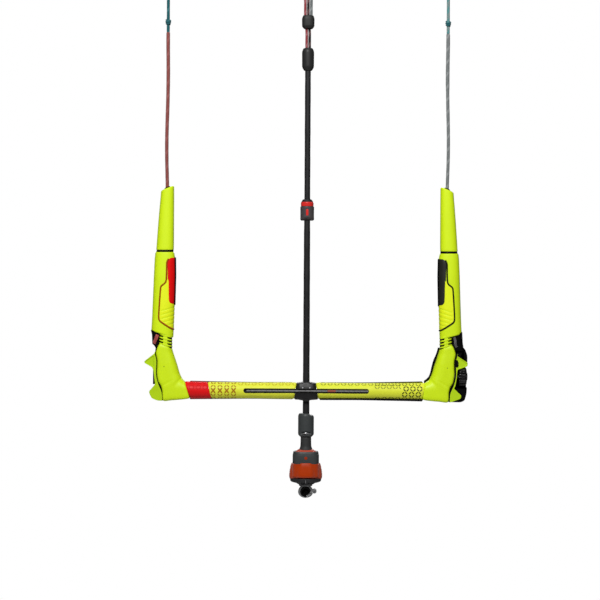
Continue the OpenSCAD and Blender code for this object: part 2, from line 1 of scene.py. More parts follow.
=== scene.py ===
"""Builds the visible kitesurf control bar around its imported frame.

Each sub-assembly is a class that works out its own surfaces with numpy, in millimetres and in the frame's
axes (X along the bar, -Y out of its front, +Z towards the kite), and dresses them in a finish.
"""

from __future__ import annotations

import logging
import math
from dataclasses import dataclass, field
from enum import Enum
from typing import Sequence

import bmesh
import bpy
import numpy as np
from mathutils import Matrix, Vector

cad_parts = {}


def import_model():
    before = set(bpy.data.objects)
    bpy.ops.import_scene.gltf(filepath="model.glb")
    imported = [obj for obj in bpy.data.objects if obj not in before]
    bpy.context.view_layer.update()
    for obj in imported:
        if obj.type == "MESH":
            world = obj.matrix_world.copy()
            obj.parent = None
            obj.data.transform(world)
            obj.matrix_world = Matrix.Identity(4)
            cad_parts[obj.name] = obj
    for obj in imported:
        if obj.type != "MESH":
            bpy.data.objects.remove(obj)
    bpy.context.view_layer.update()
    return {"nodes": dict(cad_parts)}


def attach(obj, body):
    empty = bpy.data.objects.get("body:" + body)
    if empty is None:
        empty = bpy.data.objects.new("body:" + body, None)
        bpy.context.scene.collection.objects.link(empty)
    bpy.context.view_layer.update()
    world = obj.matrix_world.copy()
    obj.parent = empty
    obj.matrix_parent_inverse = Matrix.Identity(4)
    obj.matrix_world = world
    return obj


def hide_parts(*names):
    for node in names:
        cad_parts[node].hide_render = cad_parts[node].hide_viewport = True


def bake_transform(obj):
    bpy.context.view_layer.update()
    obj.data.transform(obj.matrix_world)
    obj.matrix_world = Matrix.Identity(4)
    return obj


MM = 0.001
LOG = logging.getLogger("control_bar")
FRONT = math.radians(270)
Array = np.ndarray
Colour = tuple[float, float, float]
Socket = bpy.types.NodeSocket
Piece = bpy.types.Object


class Side(Enum):
    """The two ends of the bar, with the sign of their X."""

    LEFT = -1
    RIGHT = 1

    @property
    def word(self) -> str:
        """The name that the frame's nodes and bodies start with."""
        return self.name.lower()


# ---- Curves ----


def smooth_line(points: Sequence | Array, steps: int = 6) -> Array:
    """A Catmull-Rom curve: between two points a cubic, its slope at each half the chord of the neighbours.

    Args:
        points: the points that the curve passes through, any number of dimensions.
        steps: how many points stand for each stretch.

    Returns:
        The curve's points, the last one included.
    """
    p = np.asarray(points, float)
    padded = np.vstack([p[:1], p, p[-1:]])
    a, b, c, d = (padded[i : len(padded) - 3 + i, None] for i in range(4))
    t = np.linspace(0, 1, steps, endpoint=False)[None, :, None]
    curve = 0.5 * (2 * b + (c - a) * t + (2 * a - 5 * b + 4 * c - d) * t**2 + (3 * b - a - 3 * c + d) * t**3)
    return np.vstack([curve.reshape(-1, p.shape[1]), p[-1:]])


def respaced(line: Array, spacing: float) -> Array:
    """The same line with its points evenly spaced along its length.

    Args:
        line: the points of the line.
        spacing: the wanted distance between points.

    Returns:
        The new points, with the line's own ends.
    """
    run = np.r_[0, np.cumsum(np.linalg.norm(np.diff(line, axis=0), axis=1))]
    places = np.linspace(0, run[-1], max(2, round(run[-1] / spacing) + 1))
    return np.stack([np.interp(places, run, line[:, k]) for k in range(line.shape[1])], axis=1)


def filleted(
    corners: Sequence, radii: float | Sequence[float], closed: bool = False, steps: int = 5
) -> Array:
    """An outline whose corners are rounded: each becomes a parabola between two points on its sides.

    Args:
        corners: the corners, two numbers each.
        radii: how far from each corner its rounding starts, one for all or one each.
        closed: whether the last corner joins the first.
        steps: how many points each rounding has.

    Returns:
        The outline's points, with no two in one place.
    """
    p = np.asarray(corners, float)
    r = np.broadcast_to(np.asarray(radii, float), len(p)).copy()
    before, after = np.roll(p, 1, axis=0), np.roll(p, -1, axis=0)
    if not closed:
        before[0], after[-1] = p[0], p[-1]
        r[[0, -1]] = 0
    reach_in, reach_out = before - p, after - p
    len_in = np.maximum(np.linalg.norm(reach_in, axis=1), 1e-9)
    len_out = np.maximum(np.linalg.norm(reach_out, axis=1), 1e-9)
    r = np.minimum(r, 0.49 * np.where(r > 0, np.minimum(len_in, len_out), 1))
    start = p + reach_in * (r / len_in)[:, None]
    end = p + reach_out * (r / len_out)[:, None]
    t = np.linspace(0, 1, steps)[None, :, None]
    curve = start[:, None] * (1 - t) ** 2 + 2 * p[:, None] * t * (1 - t) + end[:, None] * t**2
    curve = curve.reshape(-1, 2)
    apart = np.linalg.norm(np.diff(curve, axis=0, prepend=curve[-1:] if closed else curve[:1] - 1), axis=1)
    return curve[apart > 1e-5]


def ring_factors(count: int, power: float | Array, start: float = 0.0) -> tuple[Array, Array]:
    """Cosine and sine factors of a superellipse, |c|^power + |s|^power = 1, round a full turn.

    Args:
        count: how many points go round.
        power: 2 for an ellipse, more for a squarer ring; one number, or one per row as a column.
        start: the angle of the first point, in radians.

    Returns:
        The factors along the first and the second half axis.
    """
    turn = start + np.linspace(0, 2 * math.pi, count, endpoint=False)
    c, s = np.cos(turn), np.sin(turn)
    size = (np.abs(c) ** power + np.abs(s) ** power) ** (-1 / np.asarray(power, float))
    return c * size, s * size


def facet_ring(facets: Sequence, insets: Array, sharpness: float, count: int = 96) -> Array:
    """The radius of a ring of flat sides with soft corners, for each inset and each direction.

    It is the p-norm of how far each direction runs towards each side: r = (sum((cos/h)^p))^(-1/p).

    Args:
        facets: each side's direction in degrees and its distance from the centre.
        insets: how far the sides move inwards, one per row.
        sharpness: the p above; a higher one gives crisper corners.
        count: how many directions go round.

    Returns:
        The ring's radii, one row per inset.
    """
    turn = np.linspace(0, 2 * math.pi, count, endpoint=False)
    angles = np.radians([a for a, _ in facets])
    towards = np.maximum(np.cos(turn[None, :] - angles[:, None]), 0)
    distance = np.array([h for _, h in facets])[None, :] - np.asarray(insets, float)[:, None]
    share = (towards[None] / distance[:, :, None]) ** sharpness
    return share.sum(axis=1) ** (-1 / sharpness)


# ---- Meshes ----


def mesh_object(name: str, vertices: Array, faces: list, uv: Array | None = None, sharp: float = 40) -> Piece:
    """A closed, outward-facing, smooth-shaded mesh from points in millimetres.

    Args:
        name: the piece's name.
        vertices: the points.
        faces: lists or tuples of point numbers.
        uv: a place on the surface for each corner of each face, in millimetres.
        sharp: the angle in degrees above which an edge stays crisp.

    Returns:
        The new object, linked into the scene.
    """
    mesh = bpy.data.meshes.new(name)
    mesh.from_pydata((np.asarray(vertices) * MM).tolist(), [], faces)
    if uv is not None:
        layer = mesh.uv_layers.new(name="surface")
        layer.data.foreach_set("uv", np.asarray(uv, np.float32).ravel())
    work = bmesh.new()
    work.from_mesh(mesh)
    bmesh.ops.remove_doubles(work, verts=work.verts, dist=2e-6)
    bmesh.ops.dissolve_degenerate(work, edges=work.edges, dist=1e-7)
    bmesh.ops.recalc_face_normals(work, faces=work.faces)
    work.to_mesh(mesh)
    work.free()
    mesh.polygons.foreach_set("use_smooth", np.ones(len(mesh.polygons), bool))
    mesh.set_sharp_from_angle(angle=math.radians(sharp))
    mesh.update()
    made = bpy.data.objects.new(name, mesh)
    bpy.context.scene.collection.objects.link(made)
    return made


def grid_faces(rows: int, cols: int, wrap_rows: bool, wrap_cols: bool) -> tuple[Array, Array]:
    """The quads of a grid, and the unwrapped row and column of each quad's corners."""
    r, c = np.meshgrid(np.arange(rows - (not wrap_rows)), np.arange(cols - (not wrap_cols)), indexing="ij")
    r, c = r.ravel()[:, None] + [0, 0, 1, 1], c.ravel()[:, None] + [0, 1, 1, 0]
    return (r % rows) * cols + c % cols, np.stack([r, c], axis=2)


def grid_piece(
    name: str, points: Array, wrap_rows: bool = False, sharp: float = 40
) -> Piece:
    """A piece from a grid of points: rows run along it and columns round it, and open ends are closed flat.

    Args:
        name: the piece's name.
        points: rows by columns by three.
        wrap_rows: whether the last row joins the first.
        sharp: the angle in degrees above which an edge stays crisp.

    Returns:
        The new object, whose UV map holds the length along the rows and round the columns.
    """
    rows, cols = points.shape[:2]
    quads, corner = grid_faces(rows, cols, wrap_rows, True)
    along = np.r_[0, np.cumsum(np.linalg.norm(np.diff(points.mean(axis=1), axis=0), axis=1))]
    along = np.r_[along, along[-1] + 1]
    girth = np.linalg.norm(np.diff(points, axis=1, append=points[:, :1]), axis=2).mean(axis=0)
    around = np.r_[0, np.cumsum(girth)]
    uv = np.stack([along[corner[..., 0]], around[corner[..., 1]]], axis=2).reshape(-1, 2)
    faces = quads.tolist()
    if not wrap_rows:
        ends = [list(range(cols))[::-1], list(range((rows - 1) * cols, rows * cols))]
        faces += ends
        uv = np.vstack([uv, np.zeros((2 * cols, 2))])
    return mesh_object(name, points.reshape(-1, 3), faces, uv, sharp)


def turned(profile: Array, cols: int = 64, centre: Sequence[float] = (0, 0, 0), axis: str = "z") -> Array:
    """A surface of revolution: each profile point (radius, height) goes round the axis through the centre.

    Args:
        profile: radius and height of each row.
        cols: how many points go round.
        centre: a point on the axis.
        axis: "z" or "x".

    Returns:
        The grid of points, rows along the profile.
    """
    turn = np.linspace(0, 2 * math.pi, cols, endpoint=False)
    radius, height = profile[:, :1], np.repeat(profile[:, 1:2], cols, axis=1)
    a, b = radius * np.cos(turn), radius * np.sin(turn)
    grid = np.stack([a, b, height] if axis == "z" else [height, a, b], axis=2)
    return grid + np.asarray(centre, float)


def swept(path: Array, ring: Array, ref: Sequence[float] = (0, 1, 0), scale: Array | float = 1.0) -> Array:
    """A ring carried along a path, square to it: point = path + ring_u * side + ring_v * normal.

    Args:
        path: the points of the path.
        ring: the ring's two coordinates, points by two, or rows by points by two.
        ref: a direction that the path never runs in, which keeps the ring from twisting.
        scale: the ring's size at each point of the path.

    Returns:
        The grid of points, rows along the path.
    """
    tangent = np.gradient(path, axis=0)
    tangent /= np.linalg.norm(tangent, axis=1, keepdims=True)
    side = np.cross(np.asarray(ref, float), tangent)
    side /= np.linalg.norm(side, axis=1, keepdims=True)
    normal = np.cross(tangent, side)
    size = np.broadcast_to(scale, len(path))[:, None, None]
    ring = np.broadcast_to(ring, (len(path), *ring.shape[-2:])) * size
    return path[:, None] + ring[..., :1] * side[:, None] + ring[..., 1:] * normal[:, None]


def round_ring(radius: float = 1.0, count: int = 24) -> Array:
    """The points of a circle about the origin, for a sweep."""
    turn = np.linspace(0, 2 * math.pi, count, endpoint=False)
    return radius * np.stack([np.cos(turn), np.sin(turn)], axis=1)


def lofted(centre: Array, half_x: Array, half_y: Array, power: float, cols: int) -> Array:
    """Level superellipse rings strung along a line: point = centre + (c * half_x, s * half_y, 0).

    Args:
        centre: the middle of each row.
        half_x: the half axis of each row along X.
        half_y: the half axis of each row along Y.
        power: the superellipse's power.
        cols: how many points go round.

    Returns:
        The grid of points.
    """
    c, s = ring_factors(cols, power)
    grid = np.repeat(centre[:, None], cols, axis=1)
    grid[..., 0] += half_x[:, None] * c
    grid[..., 1] += half_y[:, None] * s
    return grid


def rounded_rows(
    low: float, high: float, bend_low: float, bend_high: float, step: float
) -> tuple[Array, Array]:
    """Heights and insets of rows from low to high whose two ends are rounded like a quarter circle.

    Args:
        low: the first height.
        high: the last height.
        bend_low: the radius of the rounding at the low end.
        bend_high: the radius at the high end.
        step: the distance between rows elsewhere.

    Returns:
        The heights, and how far the wall draws in at each.
    """
    arc = np.linspace(0, math.pi / 2, 7)
    count = max(2, round((high - low - bend_low - bend_high) / step))
    middle = np.linspace(low + bend_low, high - bend_high, count + 1)
    heights = np.r_[
        low + bend_low * (1 - np.sin(arc[::-1])), middle[1:-1], high - bend_high * (1 - np.sin(arc))
    ]
    insets = np.r_[
        bend_low * (1 - np.cos(arc[::-1])), np.zeros(len(middle) - 2), bend_high * (1 - np.cos(arc))
    ]
    return heights, insets


def plate_piece(name: str, outline: Array, y0: float, y1: float, bend: float) -> Piece:
    """A flat plate with rounded rims: its outline in X and Z steps inwards along its normals at both faces.

    Args:
        name: the piece's name.
        outline: the closed outline.
        y0: the front face's Y.
        y1: the back face's Y.
        bend: the radius of the rounded rims.

    Returns:
        The new object.
    """
    run = np.roll(outline, -1, axis=0) - np.roll(outline, 1, axis=0)
    area = 0.5 * np.sum(
        outline[:, 0] * np.roll(outline[:, 1], -1) - np.roll(outline[:, 0], -1) * outline[:, 1]
    )
    inward = np.stack([-run[:, 1], run[:, 0]], axis=1) * np.sign(area)
    inward /= np.linalg.norm(inward, axis=1, keepdims=True)
    depth, inset = rounded_rows(y0, y1, bend, bend, 2.5)
    flat = outline[None] + inward[None] * inset[:, None, None]
    grid = np.stack([flat[..., 0], np.broadcast_to(depth[:, None], flat.shape[:2]), flat[..., 1]], axis=2)
    return grid_piece(name, grid, sharp=35)


def spun(name: str, profile: Array, cols: int, centre: Sequence[float] = (0, 0, 0), axis: str = "z") -> Piece:
    """A hollow piece of revolution, from a profile that goes out from its bore and comes back to it."""
    return grid_piece(name, turned(profile, cols, centre, axis), wrap_rows=True)


def shell_patch(name: str, outer: Array, inner: Array) -> Piece:
    """A closed skin between two grids of the same size, joined along their four borders."""
    rows, cols = outer.shape[:2]
    front = grid_faces(rows, cols, False, False)[0]
    back = front[:, ::-1] + rows * cols
    rim = np.r_[
        np.arange(cols), np.arange(1, rows) * cols + cols - 1,
        (rows - 1) * cols + np.arange(cols - 2, -1, -1),
        np.arange(rows - 2, 0, -1) * cols,
    ]
    after = np.roll(rim, -1)
    sides = np.stack([rim, rim + rows * cols, after + rows * cols, after], axis=1)
    points = np.vstack([outer.reshape(-1, 3), inner.reshape(-1, 3)])
    return mesh_object(name, points, np.vstack([front, back, sides]).tolist())


def joined(name: str, pieces: Sequence[Piece]) -> Piece:
    """One object from several closed meshes, with their own surfaces untouched."""
    work, mesh = bmesh.new(), bpy.data.meshes.new(name)
    for piece in pieces:
        work.from_mesh(piece.data)
        bpy.data.objects.remove(piece)
    work.to_mesh(mesh)
    work.free()
    made = bpy.data.objects.new(name, mesh)
    bpy.context.scene.collection.objects.link(made)
    return made


def carved(piece: Piece, cutters: Sequence[Piece]) -> Piece:
    """The piece with the cutters' shapes taken out of it; the cutters are used up."""
    for cutter in cutters:
        cut = piece.modifiers.new("cut", "BOOLEAN")
        cut.operation, cut.solver, cut.object = "DIFFERENCE", "EXACT", cutter
    shape = bpy.data.meshes.new_from_object(piece.evaluated_get(bpy.context.evaluated_depsgraph_get()))
    piece.modifiers.clear()
    piece.data = shape
    shape.polygons.foreach_set("use_smooth", np.ones(len(shape.polygons), bool))
    shape.set_sharp_from_angle(angle=math.radians(30))
    for cutter in cutters:
        bpy.data.objects.remove(cutter)
    return piece


def mirrored(points: Array, side: Side) -> Array:
    """Right-hand points as they are, or with their X turned round for the left."""
    return points * np.array([side.value, 1, 1])


# ---- Finishes ----


@dataclass
class Shader:
    """A small bench for wiring one material's nodes."""

    tree: bpy.types.NodeTree

    def add(self, kind: str, **values: object) -> bpy.types.Node:
        """A new node, its properties and inputs set by name, with underscores for the spaces in an input."""
        node = self.tree.nodes.new("ShaderNode" + kind)
        for key, value in values.items():
            if hasattr(node, key):
                setattr(node, key, value)
            else:
                self.feed(node.inputs[key.replace("_", " ")], value)
        return node

    def feed(self, socket: Socket, value: object) -> None:
        """Links a socket to another node's output, or sets its number or colour."""
        if isinstance(value, Socket):
            self.tree.links.new(value, socket)
        elif isinstance(value, tuple) and socket.type == "RGBA":
            socket.default_value = (*value, 1.0)
        else:
            socket.default_value = value

    def math(self, operation: str, *values: object) -> Socket:
        """The result of one sum on numbers or outputs."""
        node = self.add("Math", operation=operation)
        for socket, value in zip(node.inputs, values):
            self.feed(socket, value)
        return node.outputs[0]

    def noise(self, vector: Socket, scale: float, detail: float = 3.0) -> Socket:
        """Soft noise between 0 and 1."""
        return self.add("TexNoise", Vector=vector, Scale=scale, Detail=detail, Roughness=0.55).outputs["Fac"]

    def remap(self, value: Socket, low: float, high: float, to_low: float, to_high: float):
        """The value carried from one range to another, and held inside it."""
        node = self.add("MapRange", clamp=True)
        for key, number in zip(
            ("Value", "From Min", "From Max", "To Min", "To Max"), (value, low, high, to_low, to_high)
        ):
            self.feed(node.inputs[key], number)
        return node.outputs["Result"]

    def blend(self, share: object, first: object, second: object) -> Socket:
        """A colour between two."""
        node = self.add("Mix", data_type="RGBA")
        for index, value in ((0, share), (6, first), (7, second)):
            self.feed(node.inputs[index], value)
        return node.outputs[2]

    def bump(self, height: Socket, depth_mm: float, strength: float = 1.0) -> Socket:
        """A normal bent by a height between 0 and 1 that stands for so many millimetres."""
        return self.add("Bump", Height=height, Distance=depth_mm * MM, Strength=strength).outputs["Normal"]

    def place(self, uv: bool = False) -> Socket:
        """Object coordinates in metres, or the surface's own map in millimetres."""
        return self.add("TexCoord").outputs["UV" if uv else "Object"]


@dataclass(frozen=True)
class Finish:
    """What all finishes share: a name, a colour and a way to become a material."""

    name: str
    colour: Colour
    roughness: float = 0.5
    gloss: float = 0.25

    def material(self) -> bpy.types.Material:
        """The finish as a material, made once."""
        found = bpy.data.materials.get("finish_" + self.name)
        if found:
            return found
        made = bpy.data.materials.new("finish_" + self.name)
        made.use_nodes = True
        made.diffuse_color = (*self.colour, 1.0)
        skin = made.node_tree.nodes["Principled BSDF"]
        skin.inputs["Specular IOR Level"].default_value = self.gloss
        self.wire(Shader(made.node_tree), skin)
        return made

    def tones(self, low: float, high: float) -> tuple[Colour, Colour]:
        """The colour darkened and lightened."""
        dark, light = (tuple(min(1.0, c * k) for c in self.colour) for k in (low, high))
        return dark, light

    def wire(self, s: Shader, skin: bpy.types.Node) -> None:
        """Wires the nodes that are special to this finish."""
        raise NotImplementedError


@dataclass(frozen=True)
class Moulding(Finish):
    """Moulded plastic or rubber: a fine sparked grain, cloudy tone and scuffs that dull it, and, where glow is
    set, a painted glow: the colour given off as light.
    """

    grain_mm: float = 0.45
    grain_depth: float = 0.03
    mottle: float = 0.08
    # painted glow: how strongly the part gives off its own colour as light, though it is no lamp
    glow: float = 0.0
    sheen: float = 0.0

    def wire(self, s: Shader, skin: bpy.types.Node) -> None:
        """Cloudy colour, scuffed roughness, a leathery grain and, where glow is set, the painted glow."""
        place = s.place()
        cloud = s.noise(place, 28, 4)
        speck = s.noise(place, 1400, 2)
        tone = s.math("MULTIPLY_ADD", speck, 0.35, s.math("MULTIPLY", cloud, 0.65))
        dark, light = self.tones(1 - self.mottle, 1 + self.mottle)
        colour = s.blend(s.remap(tone, 0.3, 0.7, 0, 1), dark, light)
        s.feed(skin.inputs["Base Color"], colour)
        scuff = s.noise(place, 160, 5)
        s.feed(
            skin.inputs["Roughness"], s.remap(scuff, 0.3, 0.75, self.roughness - 0.06, self.roughness + 0.1)
        )
        cells = s.add("TexVoronoi", Vector=place, Scale=1 / (self.grain_mm * MM), feature="SMOOTH_F1")
        s.feed(skin.inputs["Normal"], s.bump(cells.outputs["Distance"], self.grain_depth))
        if self.sheen:
            skin.inputs["Sheen Weight"].default_value = self.sheen
        # painted glow: the colour is also given off as light, which lifts the shaded sides of the part
        if self.glow:
            s.feed(skin.inputs["Emission Color"], colour)
            skin.inputs["Emission Strength"].default_value = self.glow


@dataclass(frozen=True)
class Steel(Finish):
    """Satin metal with fine turning lines."""

    roughness: float = 0.3

    def wire(self, s: Shader, skin: bpy.types.Node) -> None:
        """Streaks drawn out along Z for colour, gloss and relief."""
        stretch = s.add("Mapping", Vector=s.place())
        stretch.inputs["Scale"].default_value = (1, 1, 12)
        lines = s.noise(stretch.outputs[0], 500, 4)
        s.feed(skin.inputs["Base Color"], s.blend(lines, *self.tones(0.8, 1.12)))
        s.feed(
            skin.inputs["Roughness"], s.remap(lines, 0.3, 0.7, self.roughness - 0.08, self.roughness + 0.12)
        )
        s.feed(skin.inputs["Normal"], s.bump(lines, 0.01, 0.5))
        skin.inputs["Metallic"].default_value = 1.0


@dataclass(frozen=True)
class Braid(Finish):
    """Braided line: two sets of strands that cross, with tracer strands of a second colour.

    The surface's map gives the length along the line and round it. One set of strands runs where along + around
    is constant and the other where along - around is, and a checker of the two says which lies on top.
    """

    tracer: Colour = (0.5, 0.5, 0.5)
    girth_mm: float = 18.0
    strands: int = 8
    tracer_share: float = 0.15
    roughness: float = 0.75

    def wire(self, s: Shader, skin: bpy.types.Node) -> None:
        """Crossing strands with rounded backs and a few tracers among them, their colour darker in the valleys
        between strands as painted shade.
        """
        split = s.add("SeparateXYZ", Vector=s.place(uv=True))
        per_mm = self.strands / self.girth_mm
        along = s.math("MULTIPLY", split.outputs["X"], per_mm * 0.8)
        around = s.math("MULTIPLY", split.outputs["Y"], per_mm)
        first, second = s.math("ADD", along, around), s.math("SUBTRACT", along, around)
        waves = [s.math("SINE", s.math("MULTIPLY", x, 2 * math.pi)) for x in (first, second)]
        crown = s.math("MULTIPLY_ADD", s.math("MULTIPLY", waves[0], waves[1]), 0.5, 0.5)
        fibre = s.noise(s.place(), 2600, 2)
        turn = s.math("FRACT", s.math("MULTIPLY", second, 1 / self.strands))
        number = s.math("FLOOR", s.math("MULTIPLY", turn, self.strands))
        is_tracer = s.math("LESS_THAN", number, self.tracer_share * self.strands)
        # partly random fibre tone, partly painted shade: the colour darkens where the strands' crown is low, in
        # the valleys between them
        base = s.blend(
            s.math("MULTIPLY_ADD", fibre, 0.5, s.math("MULTIPLY", crown, 0.5)), *self.tones(0.45, 1.25)
        )
        s.feed(skin.inputs["Base Color"], s.blend(s.math("MULTIPLY", is_tracer, crown), base, self.tracer))
        skin.inputs["Roughness"].default_value = self.roughness
        skin.inputs["Sheen Weight"].default_value = 0.25
        height = s.math("MULTIPLY_ADD", fibre, 0.2, crown)
        s.feed(skin.inputs["Normal"], s.bump(height, 0.35))


class Mark(Enum):
    """The small moulded marks on the grips."""

    RING = "ring"
    CROSS = "cross"


@dataclass(frozen=True)
class MarkField:
    """A row of moulded marks along a stretch of the bar, at one place round the grip, in millimetres."""

    shape: Mark
    x0: float
    x1: float
    around: float
    pitch: float = 10.8
    size: float = 3.5
    stroke: float = 1.2
    depth: float = 1.0


@dataclass(frozen=True)
class GripSkin(Moulding):
    """Grip rubber with fields of small marks in a second colour, slightly sunk.

    The surface's map gives X along the bar and the arc from the front's middle line upwards, in millimetres.
    """

    mark_colour: Colour = (0.2, 0.2, 0.02)
    fields: tuple[MarkField, ...] = ()

    def mark(self, s: Shader, u: Socket, v: Socket, f: MarkField) -> Socket:
        """How much of a field's mark covers each point, from 0 to 1.

        Args:
            s: the bench.
            u: X along the bar.
            v: the arc round the grip.
            f: the field.

        Returns:
            The output that holds the cover.
        """
        cell = s.math("FRACT", s.math("MULTIPLY", s.math("SUBTRACT", u, f.x0), 1 / f.pitch))
        du = s.math("ABSOLUTE", s.math("MULTIPLY", s.math("SUBTRACT", cell, 0.5), f.pitch))
        dv = s.math("ABSOLUTE", s.math("SUBTRACT", v, f.around))
        far = s.math("SQRT", s.math("ADD", s.math("MULTIPLY", du, du), s.math("MULTIPLY", dv, dv)))
        if f.shape is Mark.RING:
            off = s.math("ABSOLUTE", s.math("SUBTRACT", far, f.size))
            body = s.remap(s.math("MINIMUM", du, dv), 0.35, 0.75, 0, 1)
        else:
            off = s.math("MULTIPLY", s.math("ABSOLUTE", s.math("SUBTRACT", du, dv)), 0.707)
            body = s.remap(far, f.size + 0.9, f.size + 0.5, 0, 1)
        line = s.remap(off, f.stroke / 2 - 0.15, f.stroke / 2 + 0.15, 1, 0)
        inside = s.math("MULTIPLY", s.math("GREATER_THAN", u, f.x0), s.math("LESS_THAN", u, f.x1))
        cover = s.math("MULTIPLY", s.math("MULTIPLY", line, body), inside)
        return s.math("MULTIPLY", cover, f.depth)

    def wire(self, s: Shader, skin: bpy.types.Node) -> None:
        """The rubber's own skin first, then the marks over its colour and relief."""
        super().wire(s, skin)
        split = s.add("SeparateXYZ", Vector=s.place(uv=True))
        cover: Socket | float = 0.0
        for each in self.fields:
            cover = s.math("MAXIMUM", cover, self.mark(s, split.outputs["X"], split.outputs["Y"], each))
        if not self.fields:
            return
        rubber = skin.inputs["Base Color"].links[0].from_socket
        colour = s.blend(cover, rubber, self.mark_colour)
        s.feed(skin.inputs["Base Color"], colour)
        # painted glow: the marked colour is also given off as light
        if self.glow:
            s.feed(skin.inputs["Emission Color"], colour)
        grain = skin.inputs["Normal"].links[0].from_node
        sunk = s.add("Bump", Height=s.math("SUBTRACT", 1.0, cover), Distance=0.25 * MM, Strength=1.0)
        s.feed(sunk.inputs["Normal"], grain.outputs["Normal"])
        s.feed(skin.inputs["Normal"], sunk.outputs["Normal"])


@dataclass(frozen=True)
class Sheath(Finish):
    """Smooth extruded tube over a line: semi-gloss, with faint lines along it and a few dull rubs."""

    def wire(self, s: Shader, skin: bpy.types.Node) -> None:
        """Long streaks and rubbed patches."""
        stretch = s.add("Mapping", Vector=s.place())
        stretch.inputs["Scale"].default_value = (1, 1, 0.02)
        streaks = s.noise(stretch.outputs[0], 700, 2)
        rubs = s.noise(s.place(), 45, 5)
        s.feed(skin.inputs["Base Color"], s.blend(streaks, *self.tones(0.8, 1.25)))
        s.feed(
            skin.inputs["Roughness"], s.remap(rubs, 0.35, 0.7, self.roughness - 0.08, self.roughness + 0.15)
        )
        s.feed(skin.inputs["Normal"], s.bump(streaks, 0.03, 0.6))


NEON: Colour = (0.66, 0.88, 0.010)
FLOAT_NEON: Colour = (0.69, 0.91, 0.010)
INSET_NEON: Colour = (0.84, 0.95, 0.012)
LEFT_MARKS = (
    *(MarkField(Mark.RING, -153.6, -110.4, at, size=3.2, stroke=1.7) for at in (-5.2, 5.2, 15.6, -15.6)),
    MarkField(Mark.CROSS, -153.6, -110.4, 0, size=2.9, stroke=2.0),
    MarkField(Mark.RING, -110, -17, 13.4, depth=0.55, stroke=1.5),
    MarkField(Mark.RING, -110, -17, 24, depth=0.5),
)
RIGHT_MARKS = (
    MarkField(Mark.RING, 153.8, 186.2, 4.6, size=3.6, stroke=1.9),
    MarkField(Mark.RING, 151.6, 184, -4.9, size=3.6, stroke=1.9),
    *(MarkField(Mark.RING, 108.4, 184, around, size=3.6, stroke=1.7, depth=0.85) for around in (14.2, -14.4)),
    *(MarkField(Mark.RING, 22, 108, around, depth=0.75, stroke=1.5) for around in (14.2, 24)),
    MarkField(Mark.RING, 108.4, 151, 8.2, size=3.4, stroke=1.6, depth=0.7, pitch=9.6),
)


